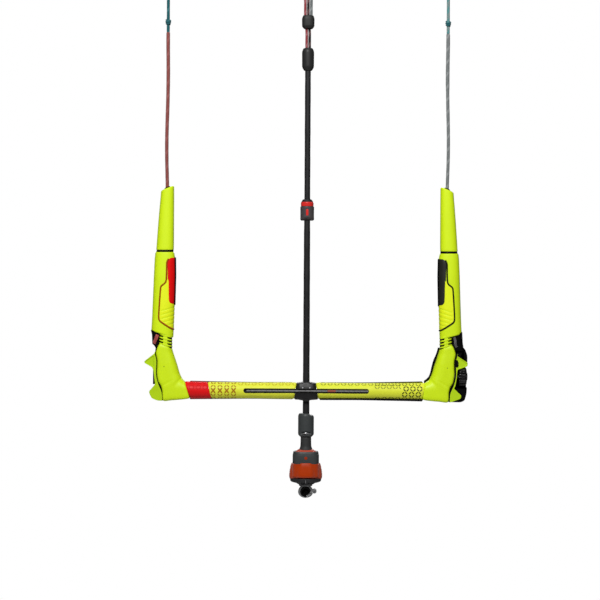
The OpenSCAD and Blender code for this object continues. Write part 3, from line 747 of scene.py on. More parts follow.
class Finishes:
    """Every finish of the control bar, by what it is on."""

    housing = Moulding("housing_grey", (0.052, 0.057, 0.058), 0.42, mottle=0.12)
    housing_edge = Moulding("housing_black", (0.012, 0.012, 0.013), 0.4, mottle=0.2)
    collar = Moulding("collar_orange", (0.50, 0.085, 0.05), 0.35)
    sleeve = Moulding(
        "sleeve_orange", (0.46, 0.040, 0.0005), 0.3, gloss=0.12, grain_mm=0.3, grain_depth=0.01, mottle=0.05,
        sheen=0.25,
    )
    dot = Moulding("dot_orange", (0.34, 0.030, 0.004), 0.4)
    base = Moulding("base_dark", (0.028, 0.028, 0.03), 0.45, mottle=0.15)
    # painted reflection: a light grey diffuse colour stands in for the steel screw heads' reflection of the
    # bright surroundings
    screw_painted_shine = Moulding("screw_painted_shine", (0.6, 0.6, 0.62), 0.45, mottle=0.1)
    rubber = Moulding("boot_rubber", (0.035, 0.036, 0.036), 0.6, grain_mm=0.6, mottle=0.15)
    steel = Steel("stainless", (0.60, 0.60, 0.61), 0.28)
    # painted reflection: a grey non-metal colour stands in for how the steel nut, eye and gate reflect the
    # bright surroundings
    eye_steel = Moulding("eye_steel_painted_reflection", (0.17, 0.172, 0.176), 0.34, gloss=0.7, grain_mm=0.5, mottle=0.3)
    aluminium = Steel("aluminium", (0.70, 0.70, 0.71), 0.35)
    liner = Moulding("liner_black", (0.0035, 0.0035, 0.0035), 0.5, gloss=0.08, mottle=0.2)
    groove = Moulding("groove_black", (0.016, 0.017, 0.014), 0.5, mottle=0.2)
    sheath = Sheath("line_sheath", (0.019, 0.019, 0.020), 0.38)
    cover = Moulding("cover_black", (0.022, 0.022, 0.022), 0.48, grain_mm=0.7, mottle=0.18)
    split = Moulding("cover_split", (0.022, 0.023, 0.022), 0.5, grain_mm=0.7, mottle=0.2)
    grip_back = Moulding(
        "grip_back", (0.006, 0.006, 0.006), 0.85, gloss=0.05, grain_mm=1.0, grain_depth=0.06, mottle=0.2
    )
    leader_red = Braid("line_red", (0.33, 0.085, 0.075), tracer=(0.42, 0.14, 0.13), girth_mm=18)
    leader_grey = Braid("line_grey", (0.24, 0.26, 0.26), tracer=(0.42, 0.44, 0.44), girth_mm=16)
    front_red = Braid("line_front_red", (0.36, 0.05, 0.06), tracer=(0.55, 0.25, 0.27), girth_mm=14)
    front_black = Braid(
        "line_black", (0.012, 0.011, 0.011), tracer=(0.28, 0.13, 0.13), girth_mm=14, tracer_share=0.26
    )
    front_grey = Braid("line_front_grey", (0.20, 0.22, 0.22), tracer=(0.45, 0.48, 0.48), girth_mm=14)
    teal = Braid("line_teal", (0.008, 0.13, 0.15), tracer=(0.08, 0.28, 0.31), girth_mm=15)
    pale_teal = Braid(
        "line_pale_teal", (0.24, 0.36, 0.35), tracer=(0.02, 0.33, 0.34), girth_mm=15, tracer_share=0.4
    )
    trim_cord = Braid("line_trim", (0.30, 0.30, 0.30), tracer=(0.10, 0.10, 0.10), girth_mm=7, strands=6)
    stopper = Moulding("stopper_grey", (0.070, 0.062, 0.066), 0.4, mottle=0.12)
    stopper_red = Moulding("stopper_red", (0.72, 0.030, 0.026), 0.3, mottle=0.05)
    mark_red = Moulding("mark_red", (0.34, 0.085, 0.055), 0.55)
    block = Moulding("block_black", (0.013, 0.013, 0.013), 0.42, gloss=0.35, mottle=0.15)
    shroud = Moulding("shroud_black", (0.0025, 0.0025, 0.0027), 0.55, gloss=0.06, mottle=0.2)
    knob = Moulding("knob_black", (0.003, 0.003, 0.0033), 0.2, gloss=0.45, mottle=0.2)
    grip_left = GripSkin(
        "grip_yellow_left", (0.80, 0.84, 0.045), 0.5, glow=0.025, mark_colour=(0.40, 0.16, 0.004),
        fields=LEFT_MARKS
    )
    grip_right = GripSkin(
        "grip_yellow_right", (0.80, 0.86, 0.045), 0.5, glow=0.025, mark_colour=(0.055, 0.065, 0.004),
        fields=RIGHT_MARKS
    )
    band = GripSkin(
        "grip_red", (0.80, 0.011, 0.012), 0.42, gloss=0.12, mark_colour=(0.45, 0.003, 0.006),
        fields=tuple(MarkField(Mark.RING, -188, -156, around, depth=0.6) for around in (5.2, 16, -14)),
    )
    end_shell = Moulding("end_yellow", NEON, 0.42, glow=0.025, mottle=0.04)
    # painted shade: a dark olive copy of the shell's yellow, standing in for the shade in the shell's dimple
    dimple = Moulding("dimple_painted_shade", (0.20, 0.26, 0.01), 0.6)
    post = Moulding("post_yellow", (0.52, 0.76, 0.012), 0.42, glow=0.025, mottle=0.04)
    float_foam = Moulding("float_yellow", FLOAT_NEON, 0.5, glow=0.03, mottle=0.035, grain_mm=0.7)
    float_inset = Moulding("float_inset", INSET_NEON, 0.5, glow=0.03, mottle=0.03)
    panel_red = Moulding("panel_red", (0.80, 0.006, 0.006), 0.42, gloss=0.1, mottle=0.05)
    panel_black = Moulding("panel_black", (0.020, 0.020, 0.016), 0.45, mottle=0.2)
    piping_brown = Moulding("piping_brown", (0.36, 0.085, 0.003), 0.5, gloss=0.12)
    piping_black = Moulding("piping_black", (0.012, 0.015, 0.004), 0.5, gloss=0.12)
    tail_red = Braid("tail_red", (0.50, 0.075, 0.07), tracer=(0.62, 0.16, 0.15), girth_mm=9)
    tail_grey = Braid("tail_grey", (0.12, 0.11, 0.12), tracer=(0.22, 0.20, 0.22), girth_mm=9)
    spool = Moulding("spool_grey", (0.09, 0.09, 0.10), 0.45)


def dressed(piece: Piece, finish: Finish, replaces: Sequence[str]) -> None:
    """Gives a piece its finish in a material slot and hides the frame's nodes that it stands for."""
    piece.data.materials.clear()
    piece.data.materials.append(finish.material())
    if replaces:
        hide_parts(*replaces)


def fitted(
    piece: Piece, finish: Finish, body: str, replaces: Sequence[str] = ()
) -> Piece:
    """Dresses a piece and hangs it on its body.

    Args:
        piece: the finished mesh.
        finish: what it is dressed in.
        body: the body that it moves with.
        replaces: the frame's nodes that it stands for.

    Returns:
        The same piece.
    """
    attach(piece, body)
    dressed(piece, finish, replaces)
    LOG.info("%s: %d faces, on %s", piece.name, len(piece.data.polygons), body)
    return piece


def bridged(
    piece: Piece, finish: Finish, bodies: tuple[str, str],
    replaces: Sequence[str] = (),
) -> Piece:
    """Dresses a piece that runs from one body to another, baked in place and hung on neither.

    Args:
        piece: the finished mesh.
        finish: what it is dressed in.
        bodies: the body at its start and the one at its end.
        replaces: the frame's nodes that it stands for.

    Returns:
        The same piece.
    """
    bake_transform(piece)
    dressed(piece, finish, replaces)
    LOG.info("%s: %d faces, between %s and %s", piece.name, len(piece.data.polygons), *bodies)
    return piece


# ---- Release, eye and swivel ----


@dataclass
class Release:
    """The push-away release, the eye under it and the swivel's stem with its boot."""

    housing: tuple[float, float, float] = (21.2, 17.0, 22.4)
    housing_z: tuple[float, float] = (44.0, 65.2)
    sleeve_half: tuple[float, float] = (26.8, 21.0)
    sleeve_z: tuple[float, float] = (22.7, 45.6)
    base_z: tuple[float, float] = (13.4, 22.2)
    eye_r: tuple[float, float] = (8.0, 12.0)
    gate_span: tuple[float, float] = (-2.0, 282.0)
    lug: tuple[float, float] = (14.0, 1.5)

    def eight_sides(self, half_w: float, half_d: float, corner: float) -> list[tuple[float, float]]:
        """Eight flat sides: two across, two through and four at the corners."""
        straight = [(0, half_w), (90, half_d), (180, half_w), (270, half_d)]
        return straight + [(a, corner) for a in (45, 135, 225, 315)]

    def ringed(self, rows: Array, sides: list[tuple[float, float]], sharpness: float) -> Array:
        """A grid from rows of inset and height round a ring of flat sides."""
        radius = facet_ring(sides, rows[:, 0], sharpness)
        turn = np.linspace(0, 2 * math.pi, radius.shape[1], endpoint=False)
        height = np.repeat(rows[:, 1:2], radius.shape[1], axis=1)
        return np.stack([radius * np.cos(turn), radius * np.sin(turn), height], axis=2)

    def build_housing(self) -> None:
        """The grey upper housing with a sunk line under its rim, its orange cap and the dot on its front."""
        half_w, half_d, corner = self.housing
        low, high = self.housing_z
        rows = filleted(
            [(14, low), (0, low), (0, high - 7), (0.35, high - 4.2), (0.9, high - 4.0), (0.9, high - 3.2),
             (0.55, high - 3.0), (1.5, high), (4.2, high), (4.4, high - 1.6), (14, high - 1.6)],
            [0, 1.2, 2, 0.2, 0.3, 0.3, 0.3, 1.0, 0.5, 0.3, 0],
        )
        shell = grid_piece("release_shell", self.ringed(rows, self.eight_sides(half_w, half_d, corner), 9))
        fitted(shell, Finishes.housing, "release", ["release_housing"])
        cap = filleted(
            [
                (4.4, high - 2), (16.6, high - 2), (16.6, high - 0.4), (12.5, high + 2.6), (8.6, high + 4.4),
                (4.4, high + 4.4)
            ],
            [0, 0, 1.2, 3, 1, 0],
        )
        grid = turned(cap, 72)
        grid[..., 1] *= 0.86
        fitted(grid_piece("release_cap", grid, wrap_rows=True), Finishes.collar, "release",
               ["release_collar"])
        dot = turned(filleted([(0, 0), (2.5, 0), (2.5, 0.5), (0, 0.6)], [0, 0, 0.3, 0]), 40)
        place = np.stack([dot[..., 0], -half_d + 0.35 - dot[..., 2], dot[..., 1] + low + 11.4], axis=2)
        fitted(grid_piece("release_dot", place), Finishes.dot, "release")

    def build_sleeve(self) -> None:
        """The push-away sleeve: a hollow shell of eight soft sides, flared at its foot, its flanks ribbed."""
        half_w, half_d = self.sleeve_half
        low, high = self.sleeve_z
        outer = filleted(
            [
                (6.3, low), (1.4, low), (0.0, low + 3.4), (0.3, low + 9.5), (1.8, high - 4.5), (3.5, high),
                (4.6, high)
            ],
            [0, 1.0, 2.5, 4, 4, 1.6, 0], steps=7,
        )
        grid_out = self.ringed(outer, self.eight_sides(half_w, half_d, 21.8), 16)
        turn = np.linspace(0, 2 * math.pi, grid_out.shape[1], endpoint=False)
        flank = np.clip((np.abs(np.cos(turn)) - 0.93) / 0.07, 0, 1)
        climb = grid_out[..., 2] - low
        rib = 0.55 * np.clip(np.sin(climb / 2.6 * 2 * math.pi), -0.3, 1) * np.clip((climb - 4) / 2, 0, 1)
        rib *= np.clip((high - low - 5 - climb) / 2, 0, 1)
        grid_out[..., :2] *= 1 - (rib * flank / half_w)[..., None]
        across = np.clip(np.abs(grid_out[..., 0]) / half_w, 0, 1)
        grid_out[..., 2] += np.clip(1 - climb / 9, 0, 1) * (1.5 - 4.6 * across**3)
        grid_out[..., 2] += np.clip((climb - 15) / 8, 0, 1) * 1.9 * (1 - across**3)
        inner = np.array([(4.4, high), (4.4, low + 3), (7.1, low + 3), (7.1, low)])
        grid_in = self.ringed(inner, [(0, half_w), (180, half_w), (90, half_d + 1), (270, half_d + 1)], 3)
        grid = np.concatenate([grid_out, grid_in], axis=0)
        shell = grid_piece("release_sleeve_shell", grid, wrap_rows=True)
        fitted(shell, Finishes.sleeve, "sleeve", ["release_sleeve"])

    def build_base(self) -> None:
        """The dark foot: a plate that draws in to the nut under it, with a moulded key mark at its front."""
        low, high = self.base_z
        rows = filleted(
            [
                (12, low - 1), (11.4, low - 1), (9.6, low + 0.8), (3.6, low + 2.4), (0.4, low + 4.0),
                (0, high), (8, high)
            ],
            [0, 0.4, 1.5, 2.0, 1.5, 0.8, 0],
        )
        foot = grid_piece("release_foot", self.ringed(rows, self.eight_sides(25.6, 19.6, 20.9), 12))
        fitted(foot, Finishes.base, "release", ["release_base"])
        key = filleted([(-0.55, 15.6), (0.55, 15.6), (0.55, 20), (-0.55, 20)], 0.4, closed=True)
        fitted(plate_piece("release_key", key, -19.9, -18.2, 0.3), Finishes.aluminium, "release")

    def build_eye(self) -> None:
        """The nut, the eye's ring and gate, the dark liner for the harness line and the slit keeper."""
        nut = facet_ring(
            [(30 + 60 * k, 9.6) for k in range(6)], np.array([8, 1.2, 0, 0, 1.0, 8]) * 0.93, 26, 96
        )
        turn = np.linspace(0, 2 * math.pi, 96, endpoint=False)
        height = np.array([9.4, 9.4, 10.3, 12.7, 13.5, 13.5])[:, None]
        grid = np.stack([nut * np.cos(turn), nut * np.sin(turn), np.broadcast_to(height, nut.shape)], axis=2)
        fitted(
            grid_piece("eye_nut", grid, sharp=25), Finishes.eye_steel, "release", ["eye_stud"]
        )
        bow = self.bow(*self.gate_span, self.eye_r, 6.0)
        ears = [
            turned(filleted([(0, y0), (3.5, y0), (3.5, y0 + 2.5), (0, y0 + 2.5)], 0.5), 32)[..., [0, 2, 1]]
            + np.array([self.lug[0], 0, self.lug[1]]) for y0 in (-5.7, 3.2)
        ]
        parts = [grid_piece("eye_bow", bow)] + [grid_piece(f"ear_{k}", ear) for k, ear in enumerate(ears)]
        fitted(joined("eye_ring", parts), Finishes.eye_steel, "release", ["eye_hook"])
        rows = filleted([(1.3, -2.7), (3.3, -2.7), (3.3, 2.7), (1.3, 2.7)], 0.5)
        knuckle = turned(rows, 32)[..., [0, 2, 1]]
        parts = [
            grid_piece("gate_bow", self.bow(283.5, 352.0, (5.8, 12.0), 5.4)),
            grid_piece("gate_knuckle", knuckle + np.array([self.lug[0], 0, self.lug[1]]), wrap_rows=True),
        ]
        fitted(joined("eye_gate_bow", parts), Finishes.eye_steel, "gate", ["eye_gate"])
        arc = np.radians(np.linspace(*self.gate_span, 90))
        lip = filleted(
            [(8, -6.8), (7.6, -7.2), (6.1, -7.2), (5.5, -6.2), (5.5, 6.2), (6.1, 7.2), (7.6, 7.2), (8, 6.8)],
            0.5,
        )
        radius = self.drawn_in(arc[:, None], lip[None, :, 0])
        grid = np.stack([radius * np.cos(arc)[:, None], np.broadcast_to(lip[:, 1], radius.shape),
                         radius * np.sin(arc)[:, None]], axis=2)
        fitted(grid_piece("eye_thimble", grid), Finishes.liner, "release", ["eye_liner"])
        petals = turned(filleted([(0, -0.35), (5.75, -0.6), (5.75, 0.6), (0, 0.35)], [0, 0.3, 0.3, 0]), 96)
        petals[..., 2] += 0.9 * np.abs(np.sin(1.5 * np.arctan2(petals[..., 1], petals[..., 0]))) ** 0.5 * (
            np.hypot(petals[..., 0], petals[..., 1]) / 5.75)
        fitted(grid_piece("eye_keeper", petals[..., [0, 2, 1]]), Finishes.liner, "release")

    def drawn_in(self, angle: Array, radius: Array | float) -> Array:
        """A radius of the eye: outside the bore the wall grows thinner towards the underside."""
        bore = 5.5
        return bore + (radius - bore) * (1 - 0.42 * np.clip(-np.sin(angle), 0, 1) ** 1.5)

    def bow(self, first: float, last: float, radii: tuple[float, float], half_y: float) -> Array:
        """A stretch of the eye's ring with rounded ends: a superellipse carried round the eye's arc.

        Args:
            first: the angle in degrees at which it starts, counted from +X towards +Z.
            last: the angle at which it ends.
            radii: the inner and outer radius before the underside is drawn in.
            half_y: half its width along Y.

        Returns:
            The grid of points.
        """
        arc = np.radians(np.linspace(first, last, 90))[:, None]
        c, s = ring_factors(40, 2.6)
        ends, draw = rounded_rows(0, 89, 3, 3, 1)
        size = np.interp(np.arange(90), ends, 1 - draw / 9)[:, None]
        radius = self.drawn_in(arc, (radii[0] + radii[1]) / 2 + (radii[1] - radii[0]) / 2 * c[None] * size)
        return np.stack([radius * np.cos(arc), half_y * s[None] * size, radius * np.sin(arc)], axis=2)

    def build_boot(self) -> None:
        """The rubber boot on the swivel's stem, flared at its foot and waisted."""
        rows = filleted(
            [(4.3, 67.6), (11.4, 67.6), (10.0, 69.6), (8.8, 73), (8.5, 80), (8.5, 86), (8.0, 88), (4.3, 88)],
            [0, 0.6, 1.2, 2.4, 3, 2, 0.8, 0],
        )
        fitted(spun("swivel_boot_skin", rows, 56), Finishes.rubber, "release", ["swivel_boot"])

    def build(self) -> None:
        """Every piece of the release."""
        self.build_housing()
        self.build_sleeve()
        self.build_base()
        self.build_eye()
        self.build_boot()


@dataclass
class Swivel:
    """The swivel's housing: a barrel with one lower shoulder and a window on its bearing."""

    radius: float = 12.6
    low: float = 87.4
    high: float = 126.0
    window: tuple[float, float, float] = (94.2, 7.8, 3.1)

    def build(self) -> None:
        """The barrel, its window's dark bed and the bright race in it."""
        r, low, high = self.radius, self.low, self.high
        wall = filleted(
            [(4.35, low), (8.2, low), (12.2, low + 4.0), (r, low + 6), (r, high - 3.6), (11.2, high - 0.6),
             (9.4, high), (5.1, high), (5.1, high - 4), (5.1, high - 4)],
            [0, 1.2, 1.6, 2, 2.4, 1.6, 1.2, 0.8, 0, 0], steps=7,
        )
        wall = np.vstack([respaced(wall, 0.7), [[4.35, low + 4]]])
        grid = turned(wall, 128)
        z, x, y = grid[..., 2].copy(), grid[..., 0].copy(), grid[..., 1].copy()
        lower = 2.6 * np.clip((x - 3.5) / 3, 0, 1) * np.clip((z - high + 9) / 7, 0, 1)
        grid[..., 2] -= np.where(np.hypot(x, y) > 5, lower, 0)
        z0, half_w, half_h = self.window
        oval = np.clip(1.25 - (x / half_w) ** 2 - ((z - z0) / half_h) ** 2, 0, 1) * (y < 0)
        sunk = 2.1 * np.clip(oval * 3.5, 0, 1)
        grid[..., :2] *= (1 - sunk / np.maximum(np.hypot(x, y), 1))[..., None]
        barrel = grid_piece("swivel_barrel", grid, wrap_rows=True)
        fitted(barrel, Finishes.housing, "line_head",
               ["swivel_housing"])
        turn = np.linspace(math.radians(232), math.radians(308), 32)
        arc = np.stack(
            [10.9 * np.cos(turn), 10.9 * np.sin(turn), z0 - 1.0 + 1.5 * np.cos((turn - FRONT) * 2.3)], axis=1
        )
        size = np.sin(np.linspace(0.15, math.pi - 0.15, 32)) ** 0.5
        race = swept(arc, round_ring(1.25, 16), (0, 0, 1), size)
        fitted(grid_piece("swivel_race", race), Finishes.steel, "line_head")


# ---- Lines ----


@dataclass
class Line:
    """A cord with its own route, thickness and braid, in millimetres.

    Its swell lists heights and the share of the diameter that the cord has at each.
    """

    name: str
    route: Sequence
    diameter: float
    finish: Finish
    body: str
    slot: str
    node: str
    ref: tuple[float, float, float] = (0, 1, 0)
    step: float = 1.0
    sides: int = 24
    swell: tuple[tuple[float, ...], tuple[float, ...]] = ((0,), (1,))

    def build(self) -> tuple[Piece, Array]:
        """The cord's tube, and the points of its middle line."""
        path = respaced(smooth_line(self.route, 8), self.step)
        run = np.arange(len(path)) * self.step
        size = np.interp(path[:, 2], *self.swell) * (
            1 + 0.012 * np.sin(run / 9.0) + 0.008 * np.sin(run / 3.7 + 1)
        )
        size[[0, -1]] *= 0.8
        tube = swept(path, round_ring(self.diameter / 2, self.sides), self.ref, size)
        piece = fitted(grid_piece(self.name, tube), self.finish, self.body, [self.node])
        return piece, path


def whipping(path: Array, centre: int, half: int, diameter: float, gap: float) -> Array:
    """A wound binding round a line and its returning end: an oval ring in turns of thread.

    Args:
        path: the line's points.
        centre: the point of the path at the binding's middle.
        half: how many points it reaches each way.
        diameter: the line's diameter.
        gap: the distance between the line and its returning end.

    Returns:
        The grid of points.
    """
    stretch = path[centre - half : centre + half + 1]
    fine = respaced(stretch, 0.35)
    turns = 1 + 0.05 * np.abs(np.sin(np.arange(len(fine)) * 0.9))
    ends = np.sin(np.linspace(0.25, math.pi - 0.25, len(fine))) ** 0.15
    ring = round_ring(1.0, 28) * np.array([diameter / 2 + 0.7, diameter / 2 + 0.7 + gap / 2])
    return swept(fine, ring, (1, 0, 0), turns * ends)


@dataclass
class LineHead:
    """The sheathed depower line, its two covers and the three lines above them."""

    line_d: float = 10.0
    line_z: tuple[float, float] = (109, 695)
    line_swell: tuple = ((109, 190, 400, 470, 695), (1.06, 1.06, 1.0, 0.93, 0.93))
    front_d: float = 4.4
    junction_z: tuple[float, float] = (674, 710)
    split_z: tuple[float, float] = (741, 762)
    red_route: tuple = (
        (-2.3, 0, 695), (-2.4, 0, 705), (-2.4, 0, 715), (-2.4, 0, 725), (-2.4, 0, 735), (-3, 0, 743),
        (-4.2, 0, 751), (-4.8, 0, 759), (-4.8, 0, 768), (-4.8, 0, 778), (-5, 0, 788), (-6, 0, 797),
    )
    black_route: tuple = (
        (2.3, 0, 695), (2.4, 0, 705), (2.4, 0, 715), (2.4, 0, 725), (2.4, 0, 735), (1.6, 0, 743),
        (0.2, 0, 751), (0, 0, 759), (0, 0, 768), (0, 0, 778), (0, 0, 788), (0, 0, 797),
    )
    grey_route: tuple = ((4.9, 0, 753), (4.8, 0, 760), (4.8, 0, 768), (4.8, 0, 778), (5, 0, 788), (6, 0, 797))
    eye_route: tuple = (
        (-0.8, 8), (-3.6, 15), (-7.2, 22), (-8.6, 30), (-6, 38), (-0.8, 42.4), (5.6, 42.4), (10.8, 38),
        (13.4, 30), (12, 22), (8.4, 15), (5.6, 8), (4.8, 0),
    )

    def build_covers(self) -> list[Piece]:
        """The rounded cover where the line divides and the squarer one where the lines part."""
        low, high = self.junction_z
        rows = filleted(
            [(5.1, low), (6.2, low), (9.5, low + 5), (9.7, high - 5.5), (7.6, high - 0.6), (5.7, high),
             (5.3, high), (5.3, high - 3), (7.9, high - 6), (7.9, low + 6), (5.1, low + 3)],
            [0, 0.8, 3.4, 3.4, 2.2, 0.6, 0.3, 0.6, 2, 2, 0], steps=7,
        )
        junction = spun("junction_sleeve", rows, 64)
        fitted(junction, Finishes.cover, "line_head", ["junction_cover"])
        low, high = self.split_z
        rows = filleted(
            [(5.5, low), (6.8, low), (9.9, low + 3.6), (10.1, high - 5), (8.4, high - 0.4), (7.6, high),
             (7.4, high), (7.4, high - 1.6), (8.3, high - 4.5), (8.3, low + 4), (5.5, low + 1.5)],
            [0, 0.8, 1.6, 1.6, 1.2, 0.4, 0.2, 0.5, 1, 1, 0], steps=6,
        )
        c, s = ring_factors(72, 2.9)
        grid = np.stack(
            [rows[:, :1] * c, rows[:, :1] * s * 0.93, np.repeat(rows[:, 1:], 72, axis=1)], axis=2
        )
        split = grid_piece("split_sleeve", grid, wrap_rows=True)
        fitted(split, Finishes.split, "line_head", ["split_cover"])
        return [junction, split]

    def build(self) -> None:
        """The covers, then the sheathed line and the three front lines with their bindings."""
        junction, split = self.build_covers()
        z0, z1 = self.line_z
        route = [(0, 0, z) for z in np.linspace(z0, z1, 40)]
        main = Line("depower_sheath", route, self.line_d, Finishes.sheath, "line_head", "line_sheath",
                    "depower_line", step=4.0, sides=40, swell=self.line_swell)
        piece, path = main.build()
        for word, start, finish, slot, node in (
            ("red_front", self.red_route, Finishes.front_red, "line_red", "red_front_line"),
            ("black_safety", self.black_route, Finishes.front_black, "line_black", "black_safety_line"),
            ("grey_front", self.grey_route, Finishes.front_grey, "line_grey", "grey_front_line"),
        ):
            x, _, top = start[-1]
            route = list(start) + [(x, y, top + up) for y, up in self.eye_route]
            cord = Line(word + "_cord", route, self.front_d, finish, "line_head", slot, node, ref=(1, 0, 0))
            piece, path = cord.build()
            throat = int(np.argmin(np.linalg.norm(path - np.array([x, 0, top + 3]), axis=1)))
            grid = whipping(path, throat, 7, self.front_d, 4.8)
            grid[..., 1] += 2.4
            bound = fitted(grid_piece(word + "_binding", grid), Finishes.liner, "line_head")


# ---- Stopper ----


@dataclass
class Stopper:
    """The stopper: a fluted body with an arched foot and a red mark, and the red ring pressed to slide it."""

    low: float = 434.0
    radius: float = 11.0
    ring_z: float = 456.8
    flutes: int = 10

    def build(self) -> None:
        """Body, mark, ring and the ring's dark shoulder."""
        low, r = self.low, self.radius
        rows = filleted(
            [(5.35, low), (9.2, low), (r, low + 1.4), (r, low + 21.6), (r - 0.3, low + 22.5),
             (10.2, low + 22.5), (10.2, low + 19.4), (8, low + 19.4), (8, low + 25.6), (5.35, low + 26)],
            [0, 0.5, 1.0, 0.5, 0.2, 0.2, 0.4, 0.3, 0.5, 0], steps=6,
        )
        rows = np.vstack([respaced(rows, 0.5), [[5.35, low + 12]]])
        grid = turned(rows, 144)
        x, y, z = (grid[..., k].copy() for k in range(3))
        around = np.arctan2(y, x)
        away = 1 - np.clip(np.cos(around - FRONT) * 1.6 - 0.75, 0, 1)
        flute = np.clip(np.cos(around * self.flutes) * 1.7 - 0.7, 0, 1) * away
        reach = np.hypot(x, y)
        flute *= np.clip((z - low - 4) / 2, 0, 1) * np.clip((low + 17.6 - z) / 1.5, 0, 1) * (reach > r - 1)
        pocket = np.clip((2.6 - np.abs(x)) / 0.4, 0, 1) * np.clip((6.2 - np.abs(z - low - 12.8)) / 0.4, 0, 1)
        pocket *= (y < 0) * (reach > r - 1.2)
        grid[..., :2] *= (1 - (0.55 * flute + 0.6 * pocket) / r)[..., None]
        arch = 4.8 * (y / r) ** 2 * np.clip((low + 9 - z) / 9, 0, 1)
        grid[..., 2] += arch * (np.hypot(x, y) > 5)
        fitted(grid_piece("stopper_shell", grid, wrap_rows=True), Finishes.stopper, "stopper",
               ["stopper_body"])
        mark = [(-1.9, low + 7.4), (1.9, low + 7.4), (1.9, low + 18.2), (-1.9, low + 18.2)]
        plate = plate_piece("stopper_mark", filleted(mark, 1.7, closed=True), -r + 0.15, -r + 2, 0.4)
        fitted(plate, Finishes.stopper_red, "stopper")
        z0 = self.ring_z
        band = filleted(
            [(8.4, z0), (9.9, z0), (10.0, z0 + 0.6), (10.2, z0 + 5.6), (9.6, z0 + 6.9), (8.4, z0 + 6.9)],
            [0, 0.3, 0.4, 1.2, 0.6, 0], steps=6,
        )
        ring = spun("stopper_band", band, 72)
        fitted(ring, Finishes.stopper_red, "stopper_trigger", ["stopper_ring"])
        cap = filleted(
            [(5.35, z0 + 6.9), (r - 1.5, z0 + 6.9), (r - 2.2, z0 + 8.2), (7.2, z0 + 11), (6.0, z0 + 11.4),
             (5.35, z0 + 11.4)],
            [0, 0.3, 1.2, 1.5, 0.4, 0], steps=6,
        )
        shoulder = spun("stopper_shoulder", cap, 72)
        fitted(shoulder, Finishes.cover, "stopper_trigger")


# ---- Bar ----


